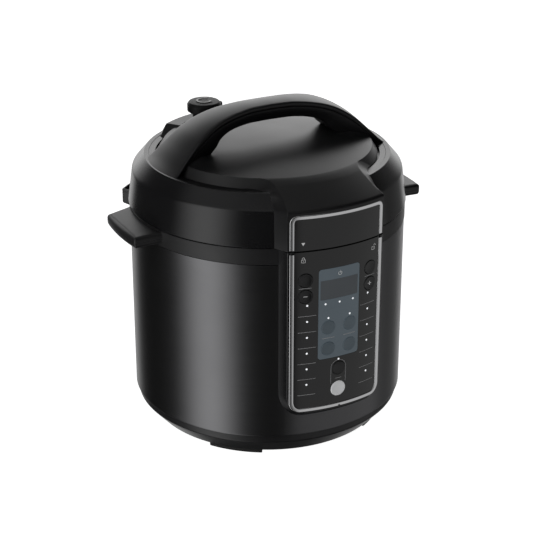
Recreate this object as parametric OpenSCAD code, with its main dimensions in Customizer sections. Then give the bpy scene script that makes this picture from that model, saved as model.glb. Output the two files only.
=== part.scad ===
// Electric pressure cooker: a round steel-clad body with a front control panel and a twist-lock lid.
// Millimetres, +Z up. The origin is on the pot's axis, on the surface that the feet stand on.
// The control panel faces -Y and the long lid handle runs along X.

/* [Body] */
// Radius of the steel shell
shell_r = 142; // [141:0.5:143]
// Height of the seam between the body and the lid above the table
seam_z = 237; // [234:1:240]
// Height of the feet under the base
foot_h = 5; // [4:0.5:6]
// Height of the upper plastic ring
ring_h = 17.8; // [17:0.2:19]
// Reach of a side handle beyond the shell
side_handle_reach = 24.5; // [20:0.5:28]
// Width of a side handle at its outer edge
side_handle_w = 70; // [66:1:78]

/* [Lid] */
// Height of the lid's shoulder above the seam
shoulder_h = 41; // [40:0.5:42]
// Height of the lid's flat rim above the seam
rim_h = 50; // [49:0.5:51]
// Height of the middle of the lid's cover above the seam
dome_h = 65; // [63:0.5:66]
// Height of the top of the lid handle above the seam
handle_h = 103; // [98:1:108]
// Thickness of the lid handle, both halves together
handle_t = 14; // [12:0.5:16]

/* [Control panel] */
// Half of the angle that the panel's front face covers
panel_half_angle = 20; // [19:0.5:21]
// How far the panel's front face stands out from the shell
panel_proud = 12.3; // [12:0.1:12.6]
// Depth of the panel housing below the seam
panel_depth = 183; // [180:1:186]
// Width of the bright trim frame
trim_w = 4.5; // [4:0.1:5]
// Radius of a round control button
button_r = 7.2; // [7:0.1:7.4]
// Travel of a control button
button_travel = 0.8; // [0.6:0.1:0.8]

/* [Cooking vessel] */
// Outer radius of the removable inner pot
pot_r = 119; // [118:0.5:119]
// Thickness of the inner pot's wall
pot_t = 1.5; // [1.2:0.1:2]
// Height of the inner pot's underside above the table
pot_z = 71.5; // [71.5:0.5:74]

/* [Hidden] */
$fn = 96;
eps = 0.01;
gap = 0.3;

// Heights
base_z = foot_h;
band_z = 23.5;
shell_z0 = 30.8;
shell_z1 = seam_z - ring_h;
ring_z1 = seam_z - 0.4;
lid_z0 = seam_z + 0.4;
shoulder_z = seam_z + shoulder_h;
rim_z = seam_z + rim_h;
dome_z = seam_z + dome_h;
cover_edge_z = seam_z + 58;
crease_z = seam_z + 54.5;
handle_z = seam_z + handle_h;
platform_z = seam_z + 60;

// Body radii
wall = 3;
shell_t = 1;
base_low_r = shell_r - 18.8;
base_r = shell_r - 2.1;
ring_r = shell_r + 0.5;
liner_r = 125;
liner_t = 1.2;
liner_z = 50;
collar_r = 131.7;
flange_z = seam_z - 3;
pot_lug_r = 126.8;
lug_count = 6;
pot_lug_angle = 24;
lid_lug_angle = 22;

// Lid radii
lid_r = shell_r + 1.3;
lid_t = 2.5;
skirt_top = [shell_r - 3.4, shoulder_z - 7];
cone_foot = [shell_r - 5.6, shoulder_z - 3];
rim_r = 126;
cover_r = 113;
cover_edge_r = 107;
crease_r = 119;
dome_drop = dome_z - cover_edge_z;
dome_r = (cover_edge_r * cover_edge_r + dome_drop * dome_drop) / (2 * dome_drop);
inner_lid_z = seam_z + 21;
inner_lid_t = 1.2;
seal_r = 116.6;

// Panel: radii of the layers, and heights that are measured from the seam
panel_r = shell_r + panel_proud;
panel_skin_r = panel_r - 1.2;
panel_bed_r = panel_r - 1.25;
panel_wall_r = panel_r - 3.9;
trim_r = panel_r + 0.7;
trim_outer_x = 51;
trim_inner_x = trim_outer_x - trim_w + 0.3;
trim_bottom_z = seam_z - 173.4;
trim_top_z = seam_z + 37;
trim_corner_r = 12;
lid_trim_corner_r = 7;
housing_corner_r = 24;
window_x = 22.5;
window_z = [seam_z - 117.5, seam_z - 21];
screen_x = 20.3;
screen_z = [seam_z - 53.5, seam_z - 33];
board_y = 137;
board_t = 1.6;
board_post_h = 7.5;
switch_h = 3.4;
led_r = 0.9;
column_x = 34;
key_hole_r = button_r + 0.2;
menu_r = 8;
dot_pitch = 17.2;

// Buttons: arc distance from the panel's middle, height from the seam, radius
cancel_at = [-36, -30.2, button_r];
minus_at = [-36, -47.2, button_r];
start_at = [36, -30.2, button_r];
plus_at = [36, -47.2, button_r];
pressure_at = [-11.9, -83.5, button_r];
timer_at = [11.9, -83.5, button_r];
level_at = [-11.9, -106.4, button_r];
temperature_at = [11.9, -106.4, button_r];
keep_warm_at = [0, -130, button_r];
menu_at = [0, -152.9, menu_r];
dark_buttons = [cancel_at, minus_at, start_at, plus_at, keep_warm_at, menu_at];
window_buttons = [pressure_at, timer_at, level_at, temperature_at];
buttons = concat(dark_buttons, window_buttons);

// Indicator lights: arc distance from the panel's middle and height from the seam
column_lights = [for (side = [-1, 1]) for (i = [0:5]) [side * column_x, -57 - i * dot_pitch]];
keep_warm_light = [[0, -120.3]];
window_lights = [[-15.2, -58], [0, -58], [15.2, -58], [-11.9, -73.4], [11.9, -73.4]];
dark_lights = concat(column_lights, keep_warm_light);

// Places on the lid
knob_at = [-26, 96];
float_at = [-50, 86];
handle_screw_at = [110, 16];
lid_post_at = [55, 55];

// Lid handle
handle_foot_x = 124;
handle_bend_x = 62;
handle_bend_r = 90;
handle_split = 4;
handle_crown_w = 14;
handle_foot_w = 36;

// Base
post_r = 100;
foot_angle = 43;
foot_span = 27;

// Condensation cup, in its own frame with +X pointing outwards
cup_angle = 123.7;
cup_span = 19;
cup_x = [146, 166];
cup_top_z = seam_z - 14.4;
cup_wall = 1.8;

// Power inlet
inlet_z = 54;
inlet_w = 30;
inlet_h = 22;
socket_w = 24.5;
socket_h = 16.5;
socket_y = 130;

// ---------- Shared shapes ----------

// A ring of height h between two radii, standing on z
module tube(r_out, r_in, z, h) {
  translate([0, 0, z])
    difference() {
      cylinder(r = r_out, h = h);
      translate([0, 0, -1])
        cylinder(r = r_in, h = h + 2);
    }
}

// A disc of height h standing on z
module disc(r, z, h) {
  translate([0, 0, z])
    cylinder(r = r, h = h);
}

// A point at radius r and angle a from the panel's middle, seen from above
function front_point(r, a) = [r * sin(a), -r * cos(a)];

// Angle on the panel's face of an arc distance s
function arc_angle(s) = s / panel_r * 180 / PI;

// Turns children that lie along -Y to arc distance s on the panel, at height z from the seam
module on_panel(s, z) {
  translate([0, 0, seam_z + z])
    rotate([0, 0, arc_angle(s)])
      children();
}

// A rod along -Y between two distances from the axis, to be used inside on_panel()
module radial_rod(r, from, to) {
  translate([0, -from, 0])
    rotate([90, 0, 0])
      cylinder(r = r, h = to - from, $fn = 48);
}

// A flat rectangle with round corners of radius rt at the top and rb at the bottom
module round_rect(half_w, z0, z1, rb, rt) {
  translate([-half_w, z0 + rb])
    square([2 * half_w, z1 - z0 - rb - rt]);
  translate([-half_w + rb, z0])
    square([2 * (half_w - rb), rb + eps]);
  translate([-half_w + rt, z1 - rt - eps])
    square([2 * (half_w - rt), rt + eps]);
  for (side = [-1, 1]) {
    translate([side * (half_w - rb), z0 + rb])
      circle(r = rb);
    translate([side * (half_w - rt), z1 - rt])
      circle(r = rt);
  }
}

// Children, a front-view outline, cut through the front of a ring between two radii
module on_curve(r_in, r_out) {
  intersection() {
    rotate([90, 0, 0])
      linear_extrude(height = panel_r + 10)
        children();
    tube(r_out, r_in, 0, seam_z + 60);
  }
}

// Front wedge of the panel and of the lid's tongue, seen from above
module front_wedge(inset, tail_r) {
  a = panel_half_angle - inset;
  b = a + 4.5;
  polygon(concat(
    [front_point(tail_r, -b - 4.5), [0, 0], front_point(tail_r, b + 4.5)],
    [front_point(rim_r, b + 2.1), front_point(lid_r, b), front_point(panel_r, a)],
    [front_point(panel_r + 20, a - 4), front_point(panel_r + 20, -a + 4)],
    [front_point(panel_r, -a), front_point(lid_r, -b), front_point(rim_r, -b - 2.1)]
  ));
}

// A countersunk-head screw pointing up, with the underside of its head on z = 0
module screw(shank_r, length, head_r, head_h) {
  translate([0, 0, -head_h])
    difference() {
      cylinder(r = head_r, h = head_h, $fn = 32);
      translate([-head_r * 0.6, -0.5, -1])
        cube([head_r * 1.2, 1, 1.8]);
      translate([-0.5, -head_r * 0.6, -1])
        cube([1, head_r * 1.2, 1.8]);
    }
  cylinder(r = shank_r, h = length, $fn = 32);
}

// ---------- Base ----------

module base_post_places() {
  for (a = [90, 210, 330])
    rotate([0, 0, a])
      translate([post_r, 0, 0])
        children();
}

module base_housing() {
  floor_z = base_z + wall;
  color([0.07, 0.07, 0.075])
    difference() {
      union() {
        rotate_extrude()
          polygon([
            [0, base_z], [base_low_r, base_z], [base_r, band_z], [base_r, shell_z0 + 6],
            [base_r - wall, shell_z0 + 6], [base_r - wall, band_z + 1],
            [base_low_r - wall, floor_z], [0, floor_z]
          ]);
        base_post_places()
          disc(7, floor_z - eps, liner_z - floor_z);
        for (x = [-38, 38])
          for (y = [-104, -64])
            translate([x, y, 0])
              disc(3, floor_z - eps, 12);
      }
      base_post_places() {
        disc(2.1, 0, 60);
        disc(5, 0, base_z + 4);
      }
      for (a = [0:15:345])
        rotate([0, 0, a])
          translate([48, -1.5, base_z - 1])
            cube([22, 3, wall + 2]);
    }
}

module feet() {
  color([0.05, 0.05, 0.05])
    for (a = [foot_angle, 180 - foot_angle, 180 + foot_angle, -foot_angle])
      rotate([0, 0, a - 90 - foot_span / 2])
        rotate_extrude(angle = foot_span)
          translate([base_low_r - 14, 0])
            square([12.5, foot_h]);
}

module base_screws() {
  color([0.6, 0.6, 0.62])
    base_post_places()
      translate([0, 0, base_z + 4])
        screw(2, 43.5, 4, 2.5);
}

// ---------- Shell and ring ----------

module outer_shell() {
  color([0.16, 0.165, 0.175])
    difference() {
      tube(shell_r, shell_r - shell_t, shell_z0, shell_z1 - shell_z0);
      translate([-49, -shell_r - 5, seam_z - 168])
        cube([98, 40, 160]);
      translate([-inlet_w / 2 + 1, shell_r - 20, inlet_z - inlet_h / 2 + 1])
        cube([inlet_w - 2, 40, inlet_h - 2]);
    }
}

module side_screw_places() {
  for (side = [0, 180])
    for (y = [-20, 20])
      rotate([0, 0, side])
        translate([0, y, seam_z - 11])
          children();
}

module upper_ring() {
  ledge_z = flange_z - 3;
  color([0.06, 0.06, 0.065])
    difference() {
      rotate_extrude()
        polygon([
          [shell_r - shell_t - 0.2, shell_z1 - 8], [shell_r - shell_t - 0.2, shell_z1],
          [ring_r, shell_z1], [ring_r, ring_z1 - 0.8], [ring_r - 0.8, ring_z1],
          [ring_r - wall, ring_z1], [ring_r - wall, flange_z], [liner_r + 2, flange_z],
          [liner_r + 2, ledge_z], [ring_r - wall - 1, ledge_z], [ring_r - wall - 1, shell_z1 - 8]
        ]);
      side_screw_places()
        translate([130, 0, 0])
          rotate([0, 90, 0])
            cylinder(r = 2.1, h = 30, $fn = 32);
      side_screw_places()
        translate([130, 0, 0])
          rotate([0, 90, 0])
            cylinder(r = 3.7, h = ring_r - wall - 131, $fn = 32);
      translate([-49, -shell_r - 5, shell_z1 - 12])
        cube([98, 40, 12]);
    }
}

// ---------- Side handles ----------

// The right-hand grip: a tapered plate that slopes a little downwards and out
module side_handle() {
  tip_x = shell_r + side_handle_reach;
  half_w = side_handle_w / 2;
  corner_r = 3;
  bulge_r = 260;
  edge_x = tip_x - 2.5;
  color([0.07, 0.07, 0.075])
    difference() {
      translate([shell_r - 4, 0, seam_z - 2])
        rotate([0, 6, 0])
          translate([-shell_r + 4, 0, -12])
            linear_extrude(height = 12) {
              polygon([
                [shell_r - 20, -half_w - 8], [edge_x - corner_r, -half_w - 1],
                [edge_x - corner_r, half_w + 1], [shell_r - 20, half_w + 8]
              ]);
              intersection() {
                translate([tip_x - bulge_r, 0])
                  circle(r = bulge_r, $fn = 360);
                translate([edge_x - corner_r - eps, -half_w + corner_r - 1])
                  square([corner_r + 5, side_handle_w - 2 * corner_r + 2]);
              }
              for (side = [-1, 1])
                intersection() {
                  translate([edge_x - corner_r, side * (half_w - corner_r + 1)])
                    circle(r = corner_r);
                  translate([tip_x - bulge_r, 0])
                    circle(r = bulge_r, $fn = 360);
                }
            }
      cylinder(r = ring_r + 0.05, h = seam_z + 20);
      side_screw_places()
        translate([140, 0, 0])
          rotate([0, 90, 0])
            cylinder(r = 1.9, h = 14, $fn = 32);
    }
}

module side_handle_right() {
  side_handle();
}

module side_handle_left() {
  rotate([0, 0, 180])
    side_handle();
}

module side_handle_screws() {
  color([0.6, 0.6, 0.62])
    side_screw_places()
      translate([ring_r - wall - 1, 0, 0])
        rotate([0, 90, 0])
          screw(1.8, 15, 3.4, 2);
}

// ---------- Front panel ----------

// Places and radii of every button's hole
module button_holes(list, from, to) {
  for (b = list)
    on_panel(b[0], b[1])
      radial_rod(b[2] + 0.2, from, to);
}

module light_holes(list, from, to) {
  for (p = list)
    on_panel(p[0], p[1])
      radial_rod(led_r + 0.1, from, to);
}

module board_screw_places() {
  for (x = [-41, 41])
    for (z = [-66, -161])
      translate([x, -board_y - board_t, seam_z + z])
        rotate([90, 0, 0])
          children();
}

// Outline inside the trim, in the front view
module trim_inner_outline(clearance) {
  x = trim_inner_x - clearance;
  r = trim_corner_r - trim_w;
  round_rect(x, trim_bottom_z + trim_w + clearance, seam_z + 10, r, 1);
}

module trim_outer_outline(clearance) {
  z0 = trim_bottom_z - clearance;
  round_rect(trim_outer_x + clearance, z0, seam_z + 10, trim_corner_r, 1);
}

module panel_housing() {
  z0 = seam_z - panel_depth;
  color([0.04, 0.04, 0.045])
    difference() {
      intersection() {
        translate([0, 0, z0])
          linear_extrude(height = ring_z1 - z0)
            difference() {
              intersection() {
                front_wedge(0, 100);
                circle(r = panel_r);
              }
              circle(r = ring_r + 0.1);
            }
        rotate([90, 0, 0])
          linear_extrude(height = panel_r + 10)
            round_rect(lid_r * sin(panel_half_angle + 4.5), z0, seam_z + 10, housing_corner_r, 1);
      }
      translate([0, 0, z0 + wall])
        linear_extrude(height = ring_z1 - z0 - 2 * wall)
          intersection() {
            front_wedge(1.6, 100);
            circle(r = panel_wall_r);
          }
      on_curve(panel_bed_r, panel_r + 5)
        trim_outer_outline(0.1);
      on_curve(panel_wall_r - 2, panel_r + 5)
        translate([-screen_x - 0.2, screen_z[0] - 0.2])
          square([2 * screen_x + 0.4, screen_z[1] - screen_z[0] + 0.4]);
      button_holes(buttons, panel_wall_r - 8, panel_r + 5);
      light_holes(concat(dark_lights, window_lights), panel_wall_r - 8, panel_r + 5);
    }
  color([0.04, 0.04, 0.045])
    board_screw_places()
      difference() {
        cylinder(r = 3, h = board_post_h, $fn = 48);
        translate([0, 0, -1])
          cylinder(r = 1.3, h = board_post_h - 0.5, $fn = 48);
      }
}

module panel_overlay() {
  color([0.015, 0.015, 0.018])
    difference() {
      on_curve(panel_skin_r, panel_r)
        intersection() {
          trim_inner_outline(0.1);
          translate([-60, 0])
            square([120, ring_z1]);
        }
      on_curve(panel_skin_r - 2, panel_r + 5)
        round_rect(window_x + 0.1, window_z[0] - 0.1, window_z[1] + 0.1, 3, 3);
      button_holes(dark_buttons, panel_skin_r - 5, panel_r + 5);
      light_holes(dark_lights, panel_skin_r - 5, panel_r + 5);
    }
}

module display_window() {
  color([0.16, 0.22, 0.30, 0.85])
    difference() {
      on_curve(panel_skin_r, panel_r)
        round_rect(window_x, window_z[0], window_z[1], 3, 3);
      button_holes(window_buttons, panel_skin_r - 5, panel_r + 5);
      light_holes(window_lights, panel_skin_r - 5, panel_r + 5);
    }
}

module panel_trim() {
  color([0.85, 0.85, 0.86])
    difference() {
      on_curve(panel_bed_r + 0.05, trim_r)
        intersection() {
          trim_outer_outline(0);
          translate([-60, 0])
            square([120, seam_z - 2.6]);
        }
      on_curve(panel_bed_r - 5, trim_r + 5)
        trim_inner_outline(0);
    }
}

module display_screen() {
  color([0.05, 0.06, 0.08])
    translate([-screen_x + 0.3, -board_y - 11.3, screen_z[0] + 0.3])
      cube([2 * screen_x - 0.6, 11.3 - board_t, screen_z[1] - screen_z[0] - 0.6]);
}

module indicator_lights() {
  color([0.9, 0.92, 0.95])
    for (p = concat(dark_lights, window_lights))
      on_panel(p[0], p[1])
        radial_rod(led_r, panel_skin_r - 2.5, panel_r + 0.1);
}

module control_board() {
  color([0.05, 0.25, 0.12])
    difference() {
      translate([-44, -board_y - board_t, seam_z - 165])
        cube([88, board_t, 143]);
      board_screw_places()
        cylinder(r = 1.6, h = 10, center = true, $fn = 32);
    }
}

module board_screws() {
  color([0.6, 0.6, 0.62])
    board_screw_places()
      translate([0, 0, -board_t])
        screw(1.2, board_t + 4.5, 2.6, 1.6);
}

module button_switches() {
  color([0.15, 0.15, 0.15])
    for (b = buttons)
      translate([(board_y + board_t + switch_h) * tan(arc_angle(b[0])), -board_y - board_t, seam_z + b[1]])
        rotate([90, 0, 0]) {
          translate([-3, -3, 0])
            cube([6, 6, switch_h - 1]);
          cylinder(r = 1.6, h = switch_h, $fn = 32);
        }
}

// A round button: cap, retaining flange and the stem that presses its switch
module panel_button(b) {
  tilt = abs(arc_angle(b[0]));
  stem_end = (board_y + board_t + switch_h + 0.2 + 2 * sin(tilt)) / cos(tilt) + button_travel;
  on_panel(b[0], b[1]) {
    radial_rod(b[2], panel_wall_r - 1.5, panel_r + 0.6);
    radial_rod(b[2] + 0.8, panel_wall_r - 1.6, panel_wall_r - 0.6);
    radial_rod(2, stem_end, panel_wall_r - 1);
  }
}

module dark_button(b) {
  color([0.05, 0.05, 0.055])
    panel_button(b);
}

module blue_button(b) {
  color([0.18, 0.25, 0.34])
    panel_button(b);
}

module cancel_button() {
  dark_button(cancel_at);
}

module minus_button() {
  dark_button(minus_at);
}

module start_button() {
  dark_button(start_at);
}

module plus_button() {
  dark_button(plus_at);
}

module pressure_button() {
  blue_button(pressure_at);
}

module timer_button() {
  blue_button(timer_at);
}

module level_button() {
  blue_button(level_at);
}

module temperature_button() {
  blue_button(temperature_at);
}

module keep_warm_button() {
  dark_button(keep_warm_at);
}

module menu_button() {
  color([0.85, 0.87, 0.88])
    panel_button(menu_at);
}

// ---------- Power electronics ----------

module power_board() {
  color([0.05, 0.25, 0.12])
    translate([-44, -110, base_z + wall + 12])
      cube([88, 52, board_t]);
}

module transformer() {
  color([0.75, 0.65, 0.2])
    translate([-34, -98, base_z + wall + 12 + board_t])
      cube([26, 22, 18]);
}

module relay() {
  color([0.1, 0.15, 0.5])
    translate([14, -96, base_z + wall + 12 + board_t])
      cube([19, 16, 15]);
}

module power_inlet() {
  color([0.08, 0.08, 0.08])
    difference() {
      union() {
        translate([-inlet_w / 2 + 1.3, liner_r + 2, inlet_z - inlet_h / 2 + 1.3])
          cube([inlet_w - 2.6, shell_r - liner_r, inlet_h - 2.6]);
        rotate([0, 0, 180])
          on_curve(shell_r + 0.1, shell_r + 3)
            round_rect(inlet_w / 2 + 3, inlet_z - inlet_h / 2 - 3, inlet_z + inlet_h / 2 + 3, 3, 3);
      }
      translate([-socket_w / 2, socket_y, inlet_z - socket_h / 2])
        cube([socket_w, 30, socket_h]);
    }
}

module inlet_pins() {
  color([0.8, 0.75, 0.5])
    for (p = [[-7, -2], [0, 2], [7, -2]])
      translate([p[0] - 1, socket_y, inlet_z + p[1] - 2])
        cube([2, 10, 4]);
}

// ---------- Cooking vessel ----------

module outer_pot() {
  color([0.7, 0.7, 0.72])
    difference() {
      union() {
        tube(liner_r, liner_r - liner_t, liner_z, flange_z + 1.5 - liner_z);
        disc(liner_r, liner_z, liner_t);
        tube(ring_r - wall - 0.5, liner_r - liner_t, flange_z, 1.5);
        tube(collar_r, collar_r - 1.2, flange_z, 16);
        for (i = [0:lug_count - 1])
          rotate([0, 0, i * 360 / lug_count - pot_lug_angle / 2])
            rotate_extrude(angle = pot_lug_angle)
              translate([pot_lug_r, flange_z + 13])
                square([collar_r - 1.2 - pot_lug_r + eps, 3]);
      }
      disc(24, liner_z - 1, 5);
      base_post_places()
        disc(2.1, liner_z - 1, 5);
    }
}

module heating_plate() {
  top_z = pot_z - gap;
  color([0.75, 0.75, 0.76])
    difference() {
      union() {
        rotate_extrude()
          polygon([[15.5, 60], [88, 60], [88, top_z - 3], [84, top_z], [15.5, top_z]]);
        rotate_extrude()
          translate([66, 60])
            circle(r = 5.5, $fn = 48);
        for (a = [30, 150, 270])
          rotate([0, 0, a])
            translate([78, 0, 0])
              disc(5, liner_z + liner_t, 12);
      }
      for (a = [0:60:300])
        rotate([0, 0, a])
          translate([40, 0, 0])
            disc(2, 55, 30);
    }
}

module sensor_bracket() {
  color([0.7, 0.7, 0.7])
    difference() {
      union() {
        tube(30, 20, liner_z - 6, 6);
        disc(30, liner_z - 7, 1.5);
      }
      disc(5.4, liner_z - 10, 20);
    }
}

module thermal_sensor() {
  color([0.8, 0.8, 0.8]) {
    disc(15, pot_z - gap - 8, 7.7);
    disc(5, liner_z - 12, pot_z - gap - 8 - liner_z + 12 + eps);
  }
}

module sensor_spring() {
  bottom_z = liner_z - 5;
  top_z = pot_z - gap - 8.4;
  turns = 5;
  color([0.6, 0.6, 0.6])
    translate([0, 0, bottom_z])
      linear_extrude(height = top_z - bottom_z, twist = -360 * turns, slices = 20 * turns, $fn = 6)
        translate([8, 0])
          scale([1, 2.2])
            circle(r = 0.7, $fn = 6);
}

module pressure_switch() {
  color([0.85, 0.8, 0.7])
    translate([52, 30, 0]) {
      translate([-12, -7, liner_z - 12])
        cube([24, 14, 12]);
      disc(2.5, liner_z - 15, 4);
    }
}

module inner_pot() {
  rim_top = seam_z + 3.3;
  color([0.62, 0.62, 0.64])
    rotate_extrude()
      polygon([
        [0, pot_z], [pot_r - 8, pot_z], [pot_r - 2.4, pot_z + 2.4], [pot_r, pot_z + 8],
        [pot_r, rim_top - 2.5], [pot_r + 3, rim_top - 2.5], [pot_r + 3, rim_top],
        [pot_r - pot_t, rim_top], [pot_r - pot_t, pot_z + 9], [pot_r - 3.6, pot_z + 3.6],
        [pot_r - 9, pot_z + pot_t], [0, pot_z + pot_t]
      ]);
}

// ---------- Condensation cup ----------

module at_cup() {
  rotate([0, 0, cup_angle])
    children();
}

// Side outline of the cup: its floor slopes down towards the body
module cup_outline(inset) {
  polygon([
    [cup_x[0] + inset, cup_top_z - 19 + inset * 1.2], [cup_x[1] - inset, cup_top_z - 15.7 + inset * 1.2],
    [cup_x[1] - inset, cup_top_z + (inset > 0 ? 5 : 0)], [cup_x[0] + inset, cup_top_z + (inset > 0 ? 5 : 0)]
  ]);
}

module cup_prism(inset) {
  span = cup_span - 2 * inset / cup_x[0] * 180 / PI;
  rotate([0, 0, -span / 2])
    rotate_extrude(angle = span, $fn = 360)
      cup_outline(inset);
}

module cup_tongues(grow) {
  for (y = [-12, 12])
    translate([shell_r + 2, y - 1.5 - grow, cup_top_z - 12 - grow])
      cube([9, 3 + 2 * grow, 4 + 2 * grow]);
}

module cup_bracket() {
  color([0.07, 0.07, 0.075])
    at_cup()
      difference() {
        union() {
          cup_tongues(0);
          rotate([0, 0, -6.5])
            rotate_extrude(angle = 13, $fn = 360)
              translate([shell_r - 2, cup_top_z - 20])
                square([5.6, 16]);
        }
        cylinder(r = shell_r + 0.05, h = seam_z + 20, $fn = 360);
      }
}

module condensation_cup() {
  color([0.07, 0.07, 0.075])
    at_cup()
      difference() {
        cup_prism(0);
        cup_prism(cup_wall);
        cup_tongues(0.4);
      }
}

// ---------- Lid ----------

// Profile of the lid's outer skin without the cover
module lid_shell() {
  color([0.06, 0.06, 0.065])
    difference() {
      rotate_extrude()
        polygon([
          [lid_r, lid_z0], skirt_top, cone_foot,
          [rim_r, rim_z], [cover_r - 6, rim_z], [cover_r - 6, rim_z - lid_t],
          [rim_r - 1.2, rim_z - lid_t], cone_foot - [1.9, 1.6], skirt_top - [lid_t, 0.5],
          [lid_r - lid_t, lid_z0]
        ]);
      handle_screw_places()
        disc(2.2, rim_z - 10, 20);
    }
}

// Sector of the raised platform behind the handle, seen from above
module platform_sector(r) {
  rotate([0, 0, 90])
    intersection() {
      circle(r = r);
      polygon([[0, 0], [200, -145], [200, 145]]);
    }
}

// The raised middle cover with its front tongue and rear platform, as one filled solid
module cover_solid() {
  rotate_extrude()
    intersection() {
      polygon([[0, rim_z], [cover_r, rim_z], [cover_edge_r, cover_edge_z], [cover_edge_r, dome_z + 1], [0, dome_z + 1]]);
      translate([0, dome_z - dome_r])
        circle(r = dome_r, $fn = 720);
    }
  intersection() {
    rotate_extrude()
      polygon([
        [90, rim_z], [rim_r + 0.05, rim_z], cone_foot + [0.08, 0.06], skirt_top + [0.1, 0.02],
        [lid_r + 0.1, lid_z0], [panel_r, lid_z0],
        [panel_r, shoulder_z], [crease_r, crease_z], [cover_edge_r, cover_edge_z - 0.1], [90, cover_edge_z - 0.1]
      ]);
    linear_extrude(height = dome_z)
      front_wedge(0, cover_edge_r);
  }
  translate([0, 0, rim_z])
    linear_extrude(height = platform_z - rim_z - 3)
      platform_sector(rim_r - 1);
  translate([0, 0, rim_z])
    linear_extrude(height = platform_z - rim_z)
      platform_sector(rim_r - 5);
}

module lid_post_places() {
  for (x = [-1, 1])
    for (y = [-1, 1])
      translate([x * lid_post_at[0], y * lid_post_at[1], 0])
        children();
}

module lid_cover() {
  plate_z = inner_lid_z + inner_lid_t;
  color([0.05, 0.05, 0.055])
    difference() {
      union() {
        cover_solid();
        tube(cover_r - 6.3, cover_r - 8.5, rim_z - 6, 7);
      }
      rotate_extrude()
        polygon([[0, rim_z - 1], [96, rim_z - 1], [96, rim_z + 4.5], [0, dome_z - 4]]);
      intersection() {
        tube(panel_r - wall, lid_r - 5, lid_z0 - 5, shoulder_z - lid_z0 + 2);
        linear_extrude(height = dome_z)
          front_wedge(1.8, 100);
      }
      on_curve(panel_bed_r, panel_r + 5)
        round_rect(trim_outer_x + 0.1, seam_z - 20, trim_top_z + 0.1, 1, lid_trim_corner_r);
      translate([knob_at[0], knob_at[1], 0])
        disc(5.6, rim_z - 20, 40);
      translate([float_at[0], float_at[1], 0])
        disc(3.9, rim_z - 20, 40);
      handle_screw_places()
        disc(2.2, rim_z - 5, 20);
    }
  color([0.05, 0.05, 0.055])
    lid_post_places()
      difference() {
        disc(5, plate_z, rim_z + 7 - plate_z);
        disc(1.9, plate_z - 1, 16);
      }
}

module lid_front_plate() {
  color([0.015, 0.015, 0.018])
    on_curve(panel_skin_r, panel_r)
      round_rect(trim_inner_x - 0.1, lid_z0, trim_top_z - trim_w - 0.1, 1, lid_trim_corner_r - trim_w);
}

module lid_trim() {
  color([0.85, 0.85, 0.86])
    difference() {
      on_curve(panel_bed_r + 0.05, trim_r)
        intersection() {
          round_rect(trim_outer_x, seam_z - 20, trim_top_z, 1, lid_trim_corner_r);
          translate([-60, seam_z + 2])
            square([120, 60]);
        }
      on_curve(panel_bed_r - 5, trim_r + 5)
        round_rect(trim_inner_x, seam_z - 30, trim_top_z - trim_w, 1, lid_trim_corner_r - trim_w);
    }
}

// ---------- Lid handle ----------

// Half of the handle's width at a distance x from the middle
function handle_half_w(x) = handle_crown_w + (handle_foot_w - handle_crown_w) * pow(abs(x) / 120, 1.8);

// Filled side view of the arch, shrunk by inset, with its legs running on far below the lid
module arch_outline(inset) {
  leg_drop = 330;
  leg_run = leg_drop * (handle_foot_x - handle_bend_x) / (handle_z - rim_z);
  offset(delta = -inset)
    offset(r = handle_bend_r, $fn = 120)
      offset(delta = -handle_bend_r)
        polygon([
          [-handle_foot_x - leg_run, rim_z - leg_drop], [-handle_bend_x, handle_z],
          [handle_bend_x, handle_z], [handle_foot_x + leg_run, rim_z - leg_drop]
        ]);
}

// The arch between two depths below its top surface, narrowed by side_inset
module arch_band(from, to, side_inset) {
  step = 10;
  intersection() {
    translate([0, 60, 0])
      rotate([90, 0, 0])
        linear_extrude(height = 120)
          difference() {
            arch_outline(from);
            arch_outline(to);
          }
    translate([0, 0, rim_z + 0.1])
      linear_extrude(height = 80)
        intersection() {
          polygon(concat(
            [for (x = [-130:step:130]) [x, side_inset - handle_half_w(x)]],
            [for (x = [130:-step:-130]) [x, handle_half_w(x) - side_inset]]
          ));
          circle(r = rim_r - 0.3);
        }
  }
}

module handle_screw_places() {
  for (x = [-1, 1])
    for (y = [-1, 1])
      translate([x * handle_screw_at[0], y * handle_screw_at[1], 0])
        children();
}

// Room that the handle leaves for the raised cover
module cover_room() {
  rotate_extrude()
    intersection() {
      polygon([
        [0, rim_z - 5], [cover_r + 0.1, rim_z - 5], [cover_r + 0.1, rim_z + 0.2],
        [cover_edge_r + 0.1, cover_edge_z + 0.1], [cover_edge_r + 0.1, dome_z + 1], [0, dome_z + 1]
      ]);
      translate([0, dome_z - dome_r])
        circle(r = dome_r + 0.1, $fn = 720);
    }
}

module handle_upper() {
  color([0.07, 0.07, 0.075])
    difference() {
      arch_band(0, handle_split, 0);
      cover_room();
      handle_screw_places()
        disc(1.9, rim_z - 5, 13);
    }
}

module handle_lower() {
  color([0.05, 0.05, 0.055])
    difference() {
      arch_band(handle_split + 0.05, handle_t, 1);
      cover_room();
      handle_screw_places()
        disc(2.1, rim_z - 5, 20);
    }
}

module handle_screws() {
  color([0.6, 0.6, 0.62])
    handle_screw_places()
      translate([0, 0, rim_z - lid_t])
        screw(1.8, 9, 3.6, 2.2);
}

// ---------- Inner lid, seal and valves ----------

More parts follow.
